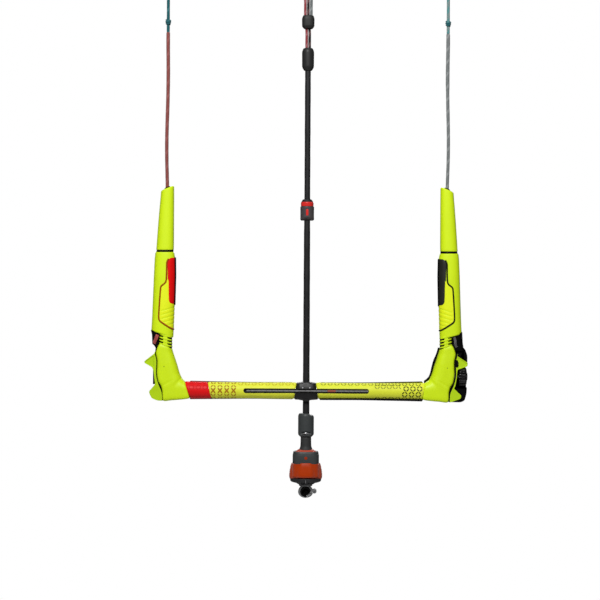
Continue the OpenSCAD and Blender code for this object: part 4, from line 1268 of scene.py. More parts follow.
@dataclass
class Bar:
    """Centre block, grips, slot and trim line of the bar, about its axis."""

    axis_z: float = 162.0
    grip_r: float = 13.4
    bore_r: float = 9.55
    slot_half: float = 100.0
    slot_r: float = 3.5
    slot_floor: float = 9.8
    left_seam: tuple[float, float] = (194.0, 184.9)
    right_seam: tuple[float, float] = (189.5, 185.1)
    band: tuple[float, float] = (157.2, 151.2)
    cord_y: float = -12.1
    cord_r: float = 1.35
    mark_x: tuple[float, float] = (34.0, 47.0)
    trim_route: tuple = (
        (229, 0, 14.9), (219, 0, 10), (211, 0, 4.5), (204, 0, 1), (196, 0, 0), (170, 0, 0), (140, 0, 0),
        (118, 0, 0), (112, -2, 0), (106, -6, 0), (100, -10.5, 0), (96, -12.1, 0), (80, -12.1, 0),
        (40, -12.1, 0), (0, -12.1, 0), (-40, -12.1, 0), (-80, -12.1, 0), (-95, -12.1, 0),
    )

    def radius_at(self, x: Array) -> Array:
        """The grip's radius: slimmest about half way along each side and fuller towards the ends."""
        reach = np.abs(x)
        waist = 0.55 * np.exp(-(((reach - 85) / 42) ** 2))
        return self.grip_r - waist + 0.5 * np.clip((reach - 140) / 48, 0, 1) ** 1.5

    def grip_piece(self, name: str, ends: tuple[tuple[float, float], tuple[float, float]]) -> Piece:
        """A grip sleeve between two slanted ends, with the front slot let into it.

        Round the section the points run from the slot's upper lip over the top and the back to its lower lip,
        then down into the slot and along the bore. Where the slot ends, the two lips meet.

        Args:
            name: the piece's name.
            ends: the X of the top and of the underside at the inner and at the outer end.

        Returns:
            The new object, whose map gives X and the arc from the front's middle line.
        """
        (top0, low0), (top1, low1) = ends
        far = max(abs(top0), abs(top1), abs(low0), abs(low1))
        count = int(abs((top0 + low0) - (top1 + low1)) / 2 / 0.9) + 2
        share = np.linspace(0, 1, count)
        lip = np.array([0.0, 0.25, 0.5, 0.75, 1.0])
        round_ends = 1.0 * np.r_[1 - np.sin(np.linspace(0, math.pi / 2, 4)), np.zeros(count - 8),
                                 1 - np.sin(np.linspace(math.pi / 2, 0, 4))]
        turn = np.linspace(0, 1, 90)
        x_mid = ((top0 + low0) * (1 - share) + (top1 + low1) * share) / 2
        reach = np.clip(self.slot_half - np.abs(x_mid), 0, None)
        half = np.where(
            reach < self.slot_r, np.sqrt(np.clip(self.slot_r**2 - (self.slot_r - reach) ** 2, 0, None)),
            self.slot_r
        )
        radius = self.radius_at(x_mid) - round_ends
        start = np.arcsin(np.clip((half + 0.55 * (half > 0)) / radius, 0, 1))
        angle = start[:, None] + (2 * math.pi - 2 * start[:, None]) * turn[None]
        skin = np.stack([radius[:, None] * -np.cos(angle), radius[:, None] * np.sin(angle)], axis=2)
        floor = np.full(count, -self.slot_floor)
        floor = np.where(half > 0.01, floor, -radius)
        lip_y = -np.sqrt(np.clip(radius**2 - half**2, 0, None)) + 0.5 * (half > 0)
        low_wall = np.stack(
            [lip_y[:, None] + (floor - lip_y)[:, None] * lip, np.repeat(-half[:, None], 5, 1)], axis=2
        )
        high_wall = low_wall[:, ::-1] * np.array([1, -1])
        outer = np.concatenate([high_wall, skin, low_wall], axis=1)
        arc = np.concatenate(
            [np.repeat(half[:, None], 5, 1), radius[:, None] * angle, np.repeat(-half[:, None], 5, 1)], axis=1
        )
        arc = np.where(arc > math.pi * radius[:, None], arc - 2 * math.pi * radius[:, None], arc)
        slant = outer[..., 1] / self.grip_r
        x = (
            ((top0 + low0) / 2 + (top0 - low0) / 2 * slant) * (1 - share[:, None])
            + ((top1 + low1) / 2 + (top1 - low1) / 2 * slant) * share[:, None]
        )
        rows, cols = outer.shape[:2]
        quads = grid_faces(rows, cols, False, True)[0]
        points = np.stack([x, outer[..., 0], outer[..., 1] + self.axis_z], axis=2).reshape(-1, 3)
        uv = np.stack([x.ravel()[quads], arc.ravel()[quads]], axis=2)
        torn = np.ptp(uv[..., 1], axis=1) > 30
        uv[torn, :, 1] = np.abs(uv[torn, :, 1])
        bore = np.arange(cols) / cols * 2 * math.pi
        rings = []
        for end in (0, rows - 1):
            y, z = -self.bore_r * np.cos(bore), self.bore_r * np.sin(bore)
            slope = z / self.grip_r
            top, low = ends[0] if end == 0 else ends[1]
            middle, tilt = (top + low) / 2, (top - low) / 2
            rings.append(np.stack([middle + tilt * slope, y, z + self.axis_z], axis=1))
        total = rows * cols
        ring_ids = total + np.arange(2 * cols).reshape(2, cols)
        nxt = (np.arange(cols) + 1) % cols
        near = np.stack([np.arange(cols)[nxt], np.arange(cols), ring_ids[0], ring_ids[0][nxt]], axis=1)
        last = (rows - 1) * cols + np.arange(cols)
        away = np.stack([last, last[nxt], ring_ids[1][nxt], ring_ids[1]], axis=1)
        tube = np.stack([ring_ids[0], ring_ids[1], ring_ids[1][nxt], ring_ids[0][nxt]], axis=1)
        faces = np.vstack([quads, near, away, tube])
        uv = np.vstack([uv.reshape(-1, 2), np.full((4 * 3 * cols, 2), far * 3)])
        return mesh_object(name, np.vstack([points, *rings]), faces.tolist(), uv, sharp=50)

    def build_grips(self) -> None:
        """Two yellow grips and the red band that marks the left."""
        band = self.band
        left = self.grip_piece("left_grip_skin", ((-15.7, -19.4), (-band[0], -band[1])))
        fitted(left, Finishes.grip_left, "bar", ["left_grip"])
        red = self.grip_piece(
            "red_band_skin", ((-band[0] - 0.3, -band[1] - 0.3), (-self.left_seam[0], -self.left_seam[1]))
        )
        fitted(red, Finishes.band, "bar", ["red_grip_band"])
        right = self.grip_piece("right_grip_skin", ((15.7, 19.4), self.right_seam))
        fitted(right, Finishes.grip_right, "bar", ["right_grip"])

    def build_backs(self) -> None:
        """The dark ribbed pads along the back half of the grips, their edges seen as thin lines from the front.

        A point stands at x, -r cos(a), r sin(a) with the angle a from top over the back to the underside; the
        radius r is the grip's, raised by a little more at the underside and the outer end.
        """
        for side, x0, x1, top, under, span in (
            (Side.LEFT, 21.5, 186.0, (0.3, 0.6, 1.0), (0.5, 0.6, 0.9), 192),
            (Side.RIGHT, 21.5, 186.4, (0.2, 0.9, 2.0), (1.6, 2.0, 2.3), 212),
        ):
            x = np.linspace(x0, x1, 260)
            raise_top, raise_under = (np.interp(x, (x0, 100, x1), stops) for stops in (top, under))
            share = np.linspace(0, 1, 61)
            angle = math.radians(87) + math.radians(span) * share
            lift = raise_top[:, None] * (1 - share) + raise_under[:, None] * share
            rise = np.clip(np.sin(math.pi * share) * 3 - 0.8, 0, 1)
            rib = np.clip(np.sin(x / 5.4 * 2 * math.pi), -0.4, 0.4)[:, None] * rise
            ends = np.clip(np.minimum(x - x0, x1 - x) / 1.5, 0.1, 1)[:, None] ** 0.5
            radius = self.radius_at(x)[:, None] + (lift + 0.3 * np.sin(math.pi * share) + 0.35 * rib) * ends
            outer = np.stack([np.broadcast_to(x[:, None], radius.shape), -radius * np.cos(angle),
                              radius * np.sin(angle) + self.axis_z], axis=2)
            low = self.radius_at(x)[:, None] - 0.5
            inner = np.stack([outer[..., 0], -low * np.cos(angle), low * np.sin(angle) + self.axis_z], axis=2)
            pad = shell_patch(side.word + "_grip_back", mirrored(outer, side), mirrored(inner, side))
            fitted(pad, Finishes.grip_back, "bar")

    def slot_rings(self, inset: float) -> Array:
        """The slot's outline at an inset: two straights joined by half circles, X and Z."""
        turn = np.r_[np.linspace(-90, 90, 25), np.linspace(90, 270, 25)]
        r = max(self.slot_r - inset, 0.0)
        middle = np.where(np.arange(50) < 25, 1, -1) * (self.slot_half - self.slot_r)
        return np.stack([middle + r * np.cos(np.radians(turn)), r * np.sin(np.radians(turn))], axis=1)

    def build_slot(self) -> None:
        """The black channel, the trim line in it and the red mark on the line."""
        steps = ((3.49, -9.6), (0.02, -9.6), (0.02, -12.6), (0.35, -13.0), (0.75, -13.0), (1.0, -12.6),
                 (1.05, -10.25), (3.49, -10.2))
        rows = []
        for inset, y in steps:
            flat = self.slot_rings(inset)
            rows.append(np.stack([flat[:, 0], np.full(50, y), flat[:, 1] + self.axis_z], axis=1))
        fitted(
            grid_piece("slot_channel", np.array(rows), sharp=40), Finishes.groove, "bar",
            ["slot_liner"],
        )
        route = [(x, y, z + self.axis_z) for x, y, z in self.trim_route]
        path = respaced(smooth_line(route, 8), 0.8)
        tube = swept(path, round_ring(self.cord_r, 16), (0, 0.3, 1))
        cord = grid_piece("trim_cord", tube)
        fitted(cord, Finishes.trim_cord, "bar", ["trim_line"])
        x0, x1 = self.mark_x
        rows = filleted(
            [(1.45, x0), (1.72, x0), (1.8, x0 + 1), (1.8, x1 - 1), (1.72, x1), (1.45, x1)],
            [0, 0.2, 0.4, 0.4, 0.2, 0],
        )
        mark = spun("trim_sleeve", rows, 32, (0, self.cord_y, self.axis_z), "x")
        fitted(mark, Finishes.mark_red, "mark", ["trim_mark"])

    def build_block(self) -> None:
        """The centre block: wider below, with the steering passage, the slot and the tubes' bores cut out."""
        low, high, depth = -14.0, 12.8, 15.2
        height, draw = rounded_rows(low, high, 2.4, 1.8, 1.2)
        half = 17.5 - 1.9 * height / 14 - draw
        c, s = ring_factors(88, 4.2)
        crown = np.sqrt(np.clip(1 - (height / 21) ** 2, 0, 1)) * depth
        x = half[:, None] * c
        y = (crown - draw * 0.6)[:, None] * s
        tongue = np.exp(-((x / 5.8) ** 6))
        z = height[:, None] + tongue * (
            1.5 * np.clip((height - high + 4) / 4, 0, 1) - 3.0 * np.clip((low + 4 - height) / 4, 0, 1))[:,
            None]
        grid = np.stack([x, y, z + self.axis_z], axis=2)
        block = grid_piece("block_shell", grid)
        flare = np.array([(-17, 14.4), (-9, 10.5), (-3, 7.3), (0, 6.2), (3, 7.3), (9, 10.5), (17, 14.4)])
        flare = smooth_line(flare, 3)
        c, s = ring_factors(48, 3.2)
        level = np.repeat(flare[:, :1], 48, 1) + self.axis_z
        passage = np.stack([flare[:, 1:] * c, np.full((len(flare), 1), 5.8) * s, level], axis=2)
        turn = np.linspace(-math.pi / 2, math.pi / 2, 24)
        seat = turned(np.stack([9.25 * np.cos(turn), 9.25 * np.sin(turn)], axis=1), 48, (0, 0, self.axis_z))
        groove = np.array([
            np.stack([flat[:, 0], np.full(50, y0), flat[:, 1] + self.axis_z], axis=1)
            for y0, flat in ((-20, self.slot_rings(0.01)), (-9.8, self.slot_rings(0.01)))
        ])
        bores = turned(np.array([(self.bore_r, 12.5), (self.bore_r, 25)]), 48, (0, 0, self.axis_z), "x")
        cutters = [
            grid_piece("passage", passage), grid_piece("seat", seat), grid_piece("groove", groove),
            grid_piece("bore_right", bores), grid_piece("bore_left", bores * np.array([-1, 1, 1])),
        ]
        fitted(carved(block, cutters), Finishes.block, "bar", ["centre_block"])
        # the screw heads below are painted reflection: light grey in place of reflecting steel
        rows = filleted([(0, 0), (1.0, 0), (1.0, 0.5), (0.75, 0.7), (0.35, 0.7), (0.35, 0.3), (0, 0.3)], 0.1)
        head = turned(rows, 24)
        for k, x in enumerate((-5.7, 5.7)):
            place = np.stack(
                [head[..., 0] + x, -14.9 - head[..., 2], head[..., 1] + self.axis_z + 5.4], axis=2
            )
            fitted(grid_piece(f"block_screw_{k}", place), Finishes.screw_painted_shine, "bar")

    def build(self) -> None:
        """Every piece about the bar's axis."""
        self.build_grips()
        self.build_backs()
        self.build_slot()
        self.build_block()


# ---- Bar ends, necks and floats ----


@dataclass
class FloatShape:
    """A float's section at each height: X of its inner and outer wall and its half depth."""

    heights: Array
    inner: Array
    outer: Array
    depth: Array
    power: float = 2.35

    def at(self, z: Array) -> tuple[Array, Array, Array]:
        """Centre, half width and half depth at the given heights."""
        inner, outer, depth = (
            np.interp(z, self.heights, row) for row in (self.inner, self.outer, self.depth)
        )
        return (inner + outer) / 2, (outer - inner) / 2, depth

    def front(self, x: Array, z: Array) -> Array:
        """The front wall's Y over a point, from |dx/a|^p + |dy/b|^p = 1."""
        centre, half, depth = self.at(z)
        share = np.clip(np.abs((x - centre) / half), 0, 0.995)
        return -depth * (1 - share**self.power) ** (1 / self.power)

    def skin(self, z: Array, angle: Array, raise_by: float) -> Array:
        """Points on the wall, lifted off it: rows at heights, columns at angles, 0 pointing inwards."""
        centre, half, depth = self.at(z)
        c, s = np.cos(angle), np.sin(angle)
        size = (np.abs(c) ** self.power + np.abs(s) ** self.power) ** (-1 / self.power)
        x = centre[:, None] - (half[:, None] + raise_by) * c * size
        y = (depth[:, None] + raise_by) * s * size
        return np.stack([x, y, np.broadcast_to(z[:, None], x.shape)], axis=2)

    def angle_of(self, x: Array, z: Array) -> Array:
        """The angle at which the wall stands at X, counted from the inner side."""
        centre, half, _ = self.at(z)
        share = np.clip((centre - x) / half, -0.999, 0.999)
        rise = (1 - np.abs(share) ** self.power) ** (1 / self.power)
        return np.arctan2(rise, share)


@dataclass
class BarEnd:
    """One end of the bar: shell, winding post, neck and floats. Outlines are those of the right."""

    side: Side
    axis_z: float = 162.0
    depth: float = 14.8
    leader_x: float = 224.0
    neck_z: tuple[float, float] = (232.0, 251.0)
    gap_z: float = 384.0
    gauge: tuple = (
        ((193.8, 13.5), (185.6, -13.5)), ((195.6, 15.4), (200, -15)), ((197.6, 17.5), (214, -16.2)),
        ((199.4, 20), (228.6, -16.6)), ((200.4, 22), (229.8, -3)), ((201.6, 24.4), (231.6, 5.4)),
        ((203.6, 30), (236.4, 14)), ((206.4, 40), (238.6, 26)), ((208.6, 46.5), (238.2, 38)),
        ((211.4, 55), (238.2, 48)), ((213.4, 61), (240.2, 60)), ((215.4, 68.4), (235.4, 74.4)),
    )
    seam_edge: tuple = (
        (235.8, 74), (240.4, 59), (238.2, 47), (238.6, 26), (235.6, 11.5), (229.8, -3), (228.6, -17),
    )
    left_horns: tuple = (
        (241.0, 62.0), (242.6, 58.2), (258.0, 46.4), (258.6, 44.6), (257.8, 43.0), (245.8, 36.6), (243.6, 31),
        (242.2, 20), (240.8, 9.6), (243.4, 6.4), (250.2, -1.4), (250.6, -3.4), (249.6, -7), (246.4, -12.6),
        (241, -15.2), (236, -16.6),
    )
    right_horns: tuple = (
        (240.8, 60.4), (241.6, 57.6), (258.8, 46.6), (259.4, 45), (258.6, 41.2), (256.4, 39.8), (243.4, 35.4),
        (242.4, 33), (241.2, 20), (239.4, 9), (237.4, 5.2), (248.8, -5.4), (249.2, -7), (248.0, -10.8),
        (244, -12.4), (232, -16.6),
    )
    back_edge: tuple = (
        (189.6, 13.6), (189.4, 16.2), (193.5, 19.5), (197, 23.5), (199.4, 30), (201.4, 39), (204.4, 50),
        (207.6, 57),
        (209.7, 63), (211.6, 70),
    )
    bodies: tuple[str, str] = field(init=False)

    def __post_init__(self) -> None:
        """Names the bodies of this end."""
        self.bodies = ("bar", self.side.word + "_float")

    def named(self, word: str) -> str:
        """A piece's name with its side."""
        return f"{self.side.word}_{word}"

    def lifted(self, points: Array) -> Array:
        """Points about the bar's axis, put at its height and on this side."""
        return mirrored(points + np.array([0, 0, self.axis_z]), self.side)

    @property
    def inwards(self) -> float:
        """How much further in this end lies; the right makes room for the trim unit."""
        return 2.0 if self.side is Side.RIGHT else 0.0

    def build_shell(self) -> None:
        """The shell from the grip up to the neck: rings strung between gauge points on its two edges.

        A ring is round on the inner side and square at the seam, and one fold runs across it above the grip.
        """
        gauge = np.array(self.gauge) - np.array([self.inwards, 0])
        if self.side is Side.RIGHT:
            gauge[0] = ((189.6, 13.5), (185.6, -13.5))
            gauge[1, 0] -= np.array([1.6, 0.4])
        steps = 8
        pairs = smooth_line(gauge.reshape(len(gauge), 4), steps)
        inside, outside = pairs[:, :2], pairs[:, 2:]
        rows = len(pairs)
        draw = 1.1 * np.r_[1 - np.sin(np.linspace(0, math.pi / 2, 5)), np.zeros(rows - 10),
                           1 - np.sin(np.linspace(math.pi / 2, 0, 5))]
        middle, half = (inside + outside) / 2, (outside - inside) / 2
        half *= (1 - draw / np.linalg.norm(half, axis=1))[:, None]
        place = np.arange(rows) / steps
        depth = np.interp(place, [0, 2, 4, 8, 11], [13.7, 14.4, self.depth, 14.2, 12.6]) - draw
        turn = np.linspace(0, 2 * math.pi, 120, endpoint=False)
        power = np.where(np.cos(turn) > 0, 6.5, 2.5)
        c, s = ring_factors(120, power)
        flat = middle[:, None] + half[:, None] * c[None, :, None]
        y = depth[:, None] * s
        fold = np.exp(-(((place[:, None] - 5 + 0.5 * np.clip(-c, 0, 1)) / 0.28) ** 2))
        fold = fold * np.clip(c + 0.45, 0, 1)
        waist = 0.9 * np.exp(-(((place[:, None] - 7.4) / 1.6) ** 2)) * np.clip(c, 0, 1)
        y -= np.sign(s) * (0.55 * fold + waist) * np.abs(s) ** 2
        if self.side is Side.RIGHT:
            y = np.minimum(y, 9.0)
        grid = np.stack([flat[..., 0], y, flat[..., 1]], axis=2)
        shell = grid_piece(self.named("end_shell"), self.lifted(grid), sharp=60)
        fitted(shell, Finishes.end_shell, "bar", [self.named("bar_end")])
        # the end_dimple disc is painted shade: dark olive where the dimple's hollow would be shaded
        pin = turned(filleted([(0, 0), (0.85, 0), (0.85, 0.5), (0, 0.6)], [0, 0, 0.2, 0]), 20)
        place = np.stack(
            [pin[..., 0] + 226.6 - self.inwards, -self.depth + 1.15 - pin[..., 2], pin[..., 1] + 37.8], axis=2
        )
        fitted(
            grid_piece(self.named("end_dimple"), self.lifted(place)), Finishes.dimple, "bar"
        )

    def build_seam(self) -> None:
        """The dark line between shell and post, and on the right the black cover behind the shell."""
        wide = 1.0 if self.side is Side.RIGHT else 0.4
        line = smooth_line(self.seam_edge, 8) - np.array([self.inwards, 0])
        line = line[(line[:, 1] > -16.3) & (line[:, 1] < 61.5)]
        offset = 0.95 if self.side is Side.RIGHT else 0.25
        outline = np.vstack([line + [offset + wide, 0], line[::-1] + [offset - wide, 0]])
        grid = outline + np.array([0, self.axis_z])
        seam = plate_piece(self.named("seam_line"), grid, -13.9, 13.9, 0.2)
        seam.data.transform(Matrix.Diagonal((self.side.value, 1, 1, 1)))
        if self.side is Side.LEFT:
            seam.data.flip_normals()
        fitted(seam, Finishes.liner, "bar")
        if self.side is Side.RIGHT:
            under = np.array([(212, -16.2), (198, -14.9), (185.8, -13.4)])
            low = np.vstack([line[-1:] + [0, -0.4], under])
            outline = np.vstack([smooth_line(self.back_edge, 5), line, low]) + np.array([0, self.axis_z])
            cover = plate_piece("right_back_shell", outline, 9.1, 14.8, 1.2)
            fitted(cover, Finishes.shroud, "bar", ["right_back_cover"])

    def outline_at(self, line: Sequence, z: Array) -> Array:
        """X of an outline at the given heights, the outline read from top to bottom or the other way."""
        curve = smooth_line(line, 8)
        order = np.argsort(curve[:, 1])
        return np.interp(z, curve[order, 1], curve[order, 0]) - self.inwards

    def build_post(self) -> None:
        """The winding post: a wedge from the seam to its two horns, with a sunk triangle in the upper one."""
        right = self.side is Side.RIGHT
        z, draw = rounded_rows(-16.6, 60.2 if right else 61.8, 0.8, 0.6, 0.35)
        near = self.outline_at(self.seam_edge, z) + (1.9 if right else 0.55)
        horns = filleted((self.right_horns if right else self.left_horns), 0.9)[::-1]
        far = np.interp(z, horns[:, 1], horns[:, 0]) - self.inwards
        reach = np.clip(far - near - draw, 0.3, None)
        ring = filleted([(0, -1), (1, -1), (1, 1), (0, 1)], 0.07, closed=True)
        ring = respaced(np.vstack([ring, ring[:1]]), 0.035)[:-1]
        a, b = ring[:, 0], ring[:, 1]
        x = near[:, None] + reach[:, None] * a
        y = b * (14.6 - draw[:, None] - (0.12 if right else 0.3) * reach[:, None] * a)
        rim = 1.5
        upper = 47.0 - 0.68 * (x + self.inwards - 258) - z[:, None] - rim * 1.3
        under = z[:, None] - (36.2 + 0.32 * (x + self.inwards - 244)) - rim
        sunk = np.minimum(np.minimum(upper, under), x + self.inwards - 243.2)
        y -= np.sign(y) * 0.9 * np.clip(sunk / 0.4, 0, 1) * (np.abs(b) > 0.99)
        if right:
            room = np.sqrt(np.clip(16.2**2 - (z - 24.0) ** 2, 0, None))[:, None]
            back = np.where((x > 242.2) & (z[:, None] < 41.2), -room - 0.3, -4.9)
            front = -(14.6 - draw[:, None] - 0.12 * reach[:, None] * a)
            y = np.where(b > 0, np.maximum(np.minimum(y, back), front + 0.7), y)
        grid = np.stack([x, y, np.repeat(z[:, None], len(ring), 1)], axis=2)
        post = grid_piece(self.named("post_horns"), self.lifted(grid), sharp=28)
        fitted(post, Finishes.post, "bar", [self.named("winding_post")])

    def build_neck(self) -> None:
        """The flexible neck: slanted ribs on a narrower spine, a black core inside them that shows in the slits
        as painted shade, and the line's tail.
        """
        low, high = self.neck_z
        slant = math.tan(math.radians(14))
        left = self.side is Side.LEFT
        x0, x1 = (214.6, 235.4) if left else (213.0, 232.6)
        middle, half = (x0 + x1) / 2, (x1 - x0) / 2
        parts = []
        for k in range(4):
            z0 = low + 1.1 + 4.9 * k
            z, draw = rounded_rows(z0, z0 + 2.5, 0.7, 0.7, 0.8)
            centre = np.stack([np.full(len(z), middle), 0 * z, z], axis=1)
            grid = lofted(centre, half - draw, 12.6 - draw, 2.9, 64)
            grid[..., 2] -= (grid[..., 0] - middle) * -slant
            parts.append(grid_piece(f"rib_{k}", mirrored(grid, self.side)))
        z, draw = rounded_rows(low - 3, high - 1, 0.5, 0.5, 2)
        centre = np.stack([np.full(len(z), middle), 0 * z, z], axis=1)
        spine = lofted(centre, half - 5.0 - draw, 12.2 - draw, 3.4, 48)
        spine[..., 2] += (spine[..., 0] - middle) * slant
        parts.append(grid_piece("spine", mirrored(spine, self.side)))
        ribs = joined(self.named("neck_ribs"), parts)
        bridged(ribs, Finishes.end_shell, self.bodies, [self.named("neck")])
        # painted shade: a black core just inside the ribs, seen in the slits between them where shade falls
        core = lofted(centre, half - 0.5 - draw, 11.4 - draw, 2.9, 48)
        core[..., 2] += (core[..., 0] - middle) * slant
        slit_shade = grid_piece(self.named("neck_slit_shade"), mirrored(core, self.side))
        bridged(slit_shade, Finishes.liner, self.bodies)
        levels, reach, base = (
            ((222, 229.5, 233.5, 235.5, 249, 255.6), (241.5, 241.0, 243.8, 246.4, 247.0, 248.9),
             (239.4, 236.4, 235.6, 235.2, 233.6, 233))
            if left else ((227, 232, 240, 255), (252.6, 251.2, 249.9, 249.0), (232.0, 231.6, 231.4, 230.4))
        )
        z, draw = rounded_rows(levels[0], levels[-1], 1.2, 0.6, 1.2)
        reach, base = np.interp(z, levels, reach), np.interp(z, levels, base)
        centre = np.stack([(reach + base) / 2, 0 * z, z], axis=1)
        guard = lofted(centre, (reach - base) / 2 - draw, 9.8 - draw, 3.4, 48)
        guard[..., 2] += np.clip((guard[..., 2] - 240) / 12, 0, 1) * (guard[..., 0] - 240) * slant
        piece = grid_piece(self.named("neck_guard"), mirrored(guard, self.side))
        bridged(piece, Finishes.shroud, self.bodies, [self.named("boot")])
        (x0, z0), (x1, z1) = ((243.2, 236.2), (237.6, 250.2)) if left else ((239.4, 233.0), (235.4, 249.0))
        route = [(x0, -9.4, z0), (x0 - 1.8, -10.6, z0 + 4.5), (x1 + 1.6, -10.6, z1 - 4.5), (x1, -9.4, z1)]
        path = respaced(smooth_line(route, 8), 0.6)
        c, s = ring_factors(20, 3)
        ribbon = swept(path, np.stack([(2.7 if left else 1.9) * c, 0.8 * s], axis=1), (0, 1, 0))
        tail = grid_piece(self.named("line_tail"), mirrored(ribbon, self.side))
        finish = Finishes.tail_red if left else Finishes.tail_grey
        bridged(tail, finish, self.bodies)

    @property
    def lower(self) -> FloatShape:
        """The lower float's walls."""
        return FloatShape(
            np.array([246, 262, 300, 345, 372, 382.0]), np.array([213.2, 212.6, 211.4, 210.4, 210.8, 212.4]),
            np.array([248.4, 247.6, 246.2, 244.6, 243.4, 242.4]), np.array(
                [13.4, 13.8, 14, 13.8, 13.2, 12.6]
            ),
        )

    @property
    def upper(self) -> FloatShape:
        """The upper float's walls."""
        return FloatShape(
            np.array([386, 395, 430, 470, 488.0]), np.array([213.2, 213.0, 213.0, 213.0, 213.2]),
            np.array([241.0, 240.4, 238.0, 234.8, 233.8]), np.array([12.4, 12.2, 11.4, 10.4, 9.8]),
        )

    def float_body(self, shape: FloatShape, low: float, high: float, tilt: tuple[float, float]) -> Array:
        """A float's grid with rounded rims, whose foot and top slant by a rise per millimetre outwards."""
        z, draw = rounded_rows(low, high, 2.2, 2.2, 2.4)
        centre, half, depth = shape.at(z)
        c, s = ring_factors(96, shape.power)
        x = centre[:, None] + (half - draw)[:, None] * c
        y = (depth - draw)[:, None] * s
        share = (z - low) / (high - low)
        lean = tilt[0] * np.clip(1 - share * 4, 0, 1) + tilt[1] * np.clip(share * 4 - 3, 0, 1)
        height = z[:, None] + lean[:, None] * (x - self.leader_x)
        return np.stack([x, y, height], axis=2)

    def build_floats(self) -> None:
        """Both floats, and a dark eyelet for the leader line at the top of the upper one."""
        body = self.bodies[1]
        foot, slope = (249.0, 0.33) if self.side is Side.LEFT else (247.6, 0.26)
        low_grid = self.float_body(self.lower, foot, self.gap_z - 1.2, (slope, 0.0))
        piece = grid_piece(self.named("float_lower_skin"), mirrored(low_grid, self.side), sharp=60)
        fitted(piece, Finishes.float_foam, body, [self.named("float_lower")])
        top_grid = self.float_body(self.upper, self.gap_z + 1.0, 484.5, (0.0, -0.42))
        piece = grid_piece(self.named("float_upper_skin"), mirrored(top_grid, self.side), sharp=60)
        fitted(piece, Finishes.float_foam, body, [self.named("float_upper")])
        eyelet = filleted(
            [(3.1, 482.5), (4.6, 482.5), (4.6, 485.6), (4.0, 486.6), (3.1, 486.6)], [0, 0, 0.6, 0.4, 0]
        )
        ring = turned(eyelet, 40, (self.leader_x, 0, 0))
        ring[..., 2] += -0.42 * (ring[..., 0] - self.leader_x)
        piece = grid_piece(self.named("float_eyelet"), mirrored(ring, self.side), wrap_rows=True)
        fitted(piece, Finishes.liner, body)

    def build_panels(self) -> None:
        """The pad on the float's inner side, the ribbed inset below it and the piping round the inset."""
        shape, body = self.lower, self.bodies[1]
        z = np.linspace(298, 374, 76)
        edge = np.interp(
            z, [298, 300, 302.5, 306, 366, 370, 374], [214.5, 218.6, 220.6, 221.2, 222.6, 221.8, 217.0]
        )
        limit = shape.angle_of(edge, z)
        share = np.linspace(-1, 1, 49)
        angle = limit[:, None] * share[None]
        crown = (1 - np.abs(share) ** 8)[None] * (1 - np.abs(np.linspace(-1, 1, 76)) ** 14)[:, None]
        outer, inner = shape.skin(z, angle, 1.0), shape.skin(z, angle, -0.6)
        outer = inner + (outer - inner) * (0.25 + 0.75 * crown)[..., None]
        pad = shell_patch(self.named("float_pad"), mirrored(outer, self.side), mirrored(inner, self.side))
        left = self.side is Side.LEFT
        panel, cord, slot = (
            (Finishes.panel_red, Finishes.piping_brown, "stopper_red")
            if left
            else (Finishes.panel_black, Finishes.piping_black, "block_black")
        )
        fitted(pad, panel, body)
        angle = 0.40 * limit[:, None] * share[None]
        strip = shell_patch(self.named("float_strip"), mirrored(shape.skin(z, angle, 1.5), self.side),
                            mirrored(shape.skin(z, angle, 0.3), self.side))
        fitted(strip, Finishes.liner, body)
        z = np.linspace(261, 338, 110)
        edge = np.interp(
            z, [261, 272, 276, 322, 328, 333, 338], [217, 231.5, 234.4, 232.4, 230.8, 225.4, 223.4]
        )
        limit = shape.angle_of(edge, z)
        angle = limit[:, None] * share[None]
        outer, inner = shape.skin(z, angle, 0.35), shape.skin(z, angle, -0.5)
        slant = z[:, None] + 0.3 * (outer[..., 0] - 215)
        rib = np.clip(np.sin((slant - 266) / 6.4 * 2 * math.pi), 0, 1) ** 2 * ((slant > 266) & (slant < 298))
        outer = inner + (outer - inner) * (1 - 0.55 * rib * (np.abs(share) < 0.93))[..., None]
        inset = shell_patch(self.named("float_inset"), mirrored(outer, self.side), mirrored(inner, self.side))
        fitted(inset, Finishes.float_inset, body)
        corners = [(211.5, 258.6), (217.5, 261.5), (229, 269), (233.8, 273), (235.4, 279), (234.4, 300),
                   (232.9, 322),
                   (231.6, 328), (226.2, 332.4), (224.0, 337), (223.4, 346), (223.2, 358), (223.0, 366),
                   (220.4, 371.4)]
        line = respaced(smooth_line(corners, 8), 0.8)
        line = line[line[:, 0] > 212.3]
        front = np.stack([line[:, 0], shape.front(line[:, 0], line[:, 1]) - 0.25, line[:, 1]], axis=1)
        pipes = []
        for k, flip in enumerate((1, -1)):
            tube = swept(front * np.array([1, flip, 1]), round_ring(1.3, 12), (0, 1, 0))
            pipes.append(grid_piece(f"pipe_{k}", mirrored(tube, self.side)))
        fitted(joined(self.named("float_piping"), pipes), cord, body)

    def build(self) -> None:
        """Every piece of this end but its line and the trim unit."""
        self.build_shell()
        self.build_seam()
        self.build_post()
        self.build_neck()
        self.build_floats()
        self.build_panels()


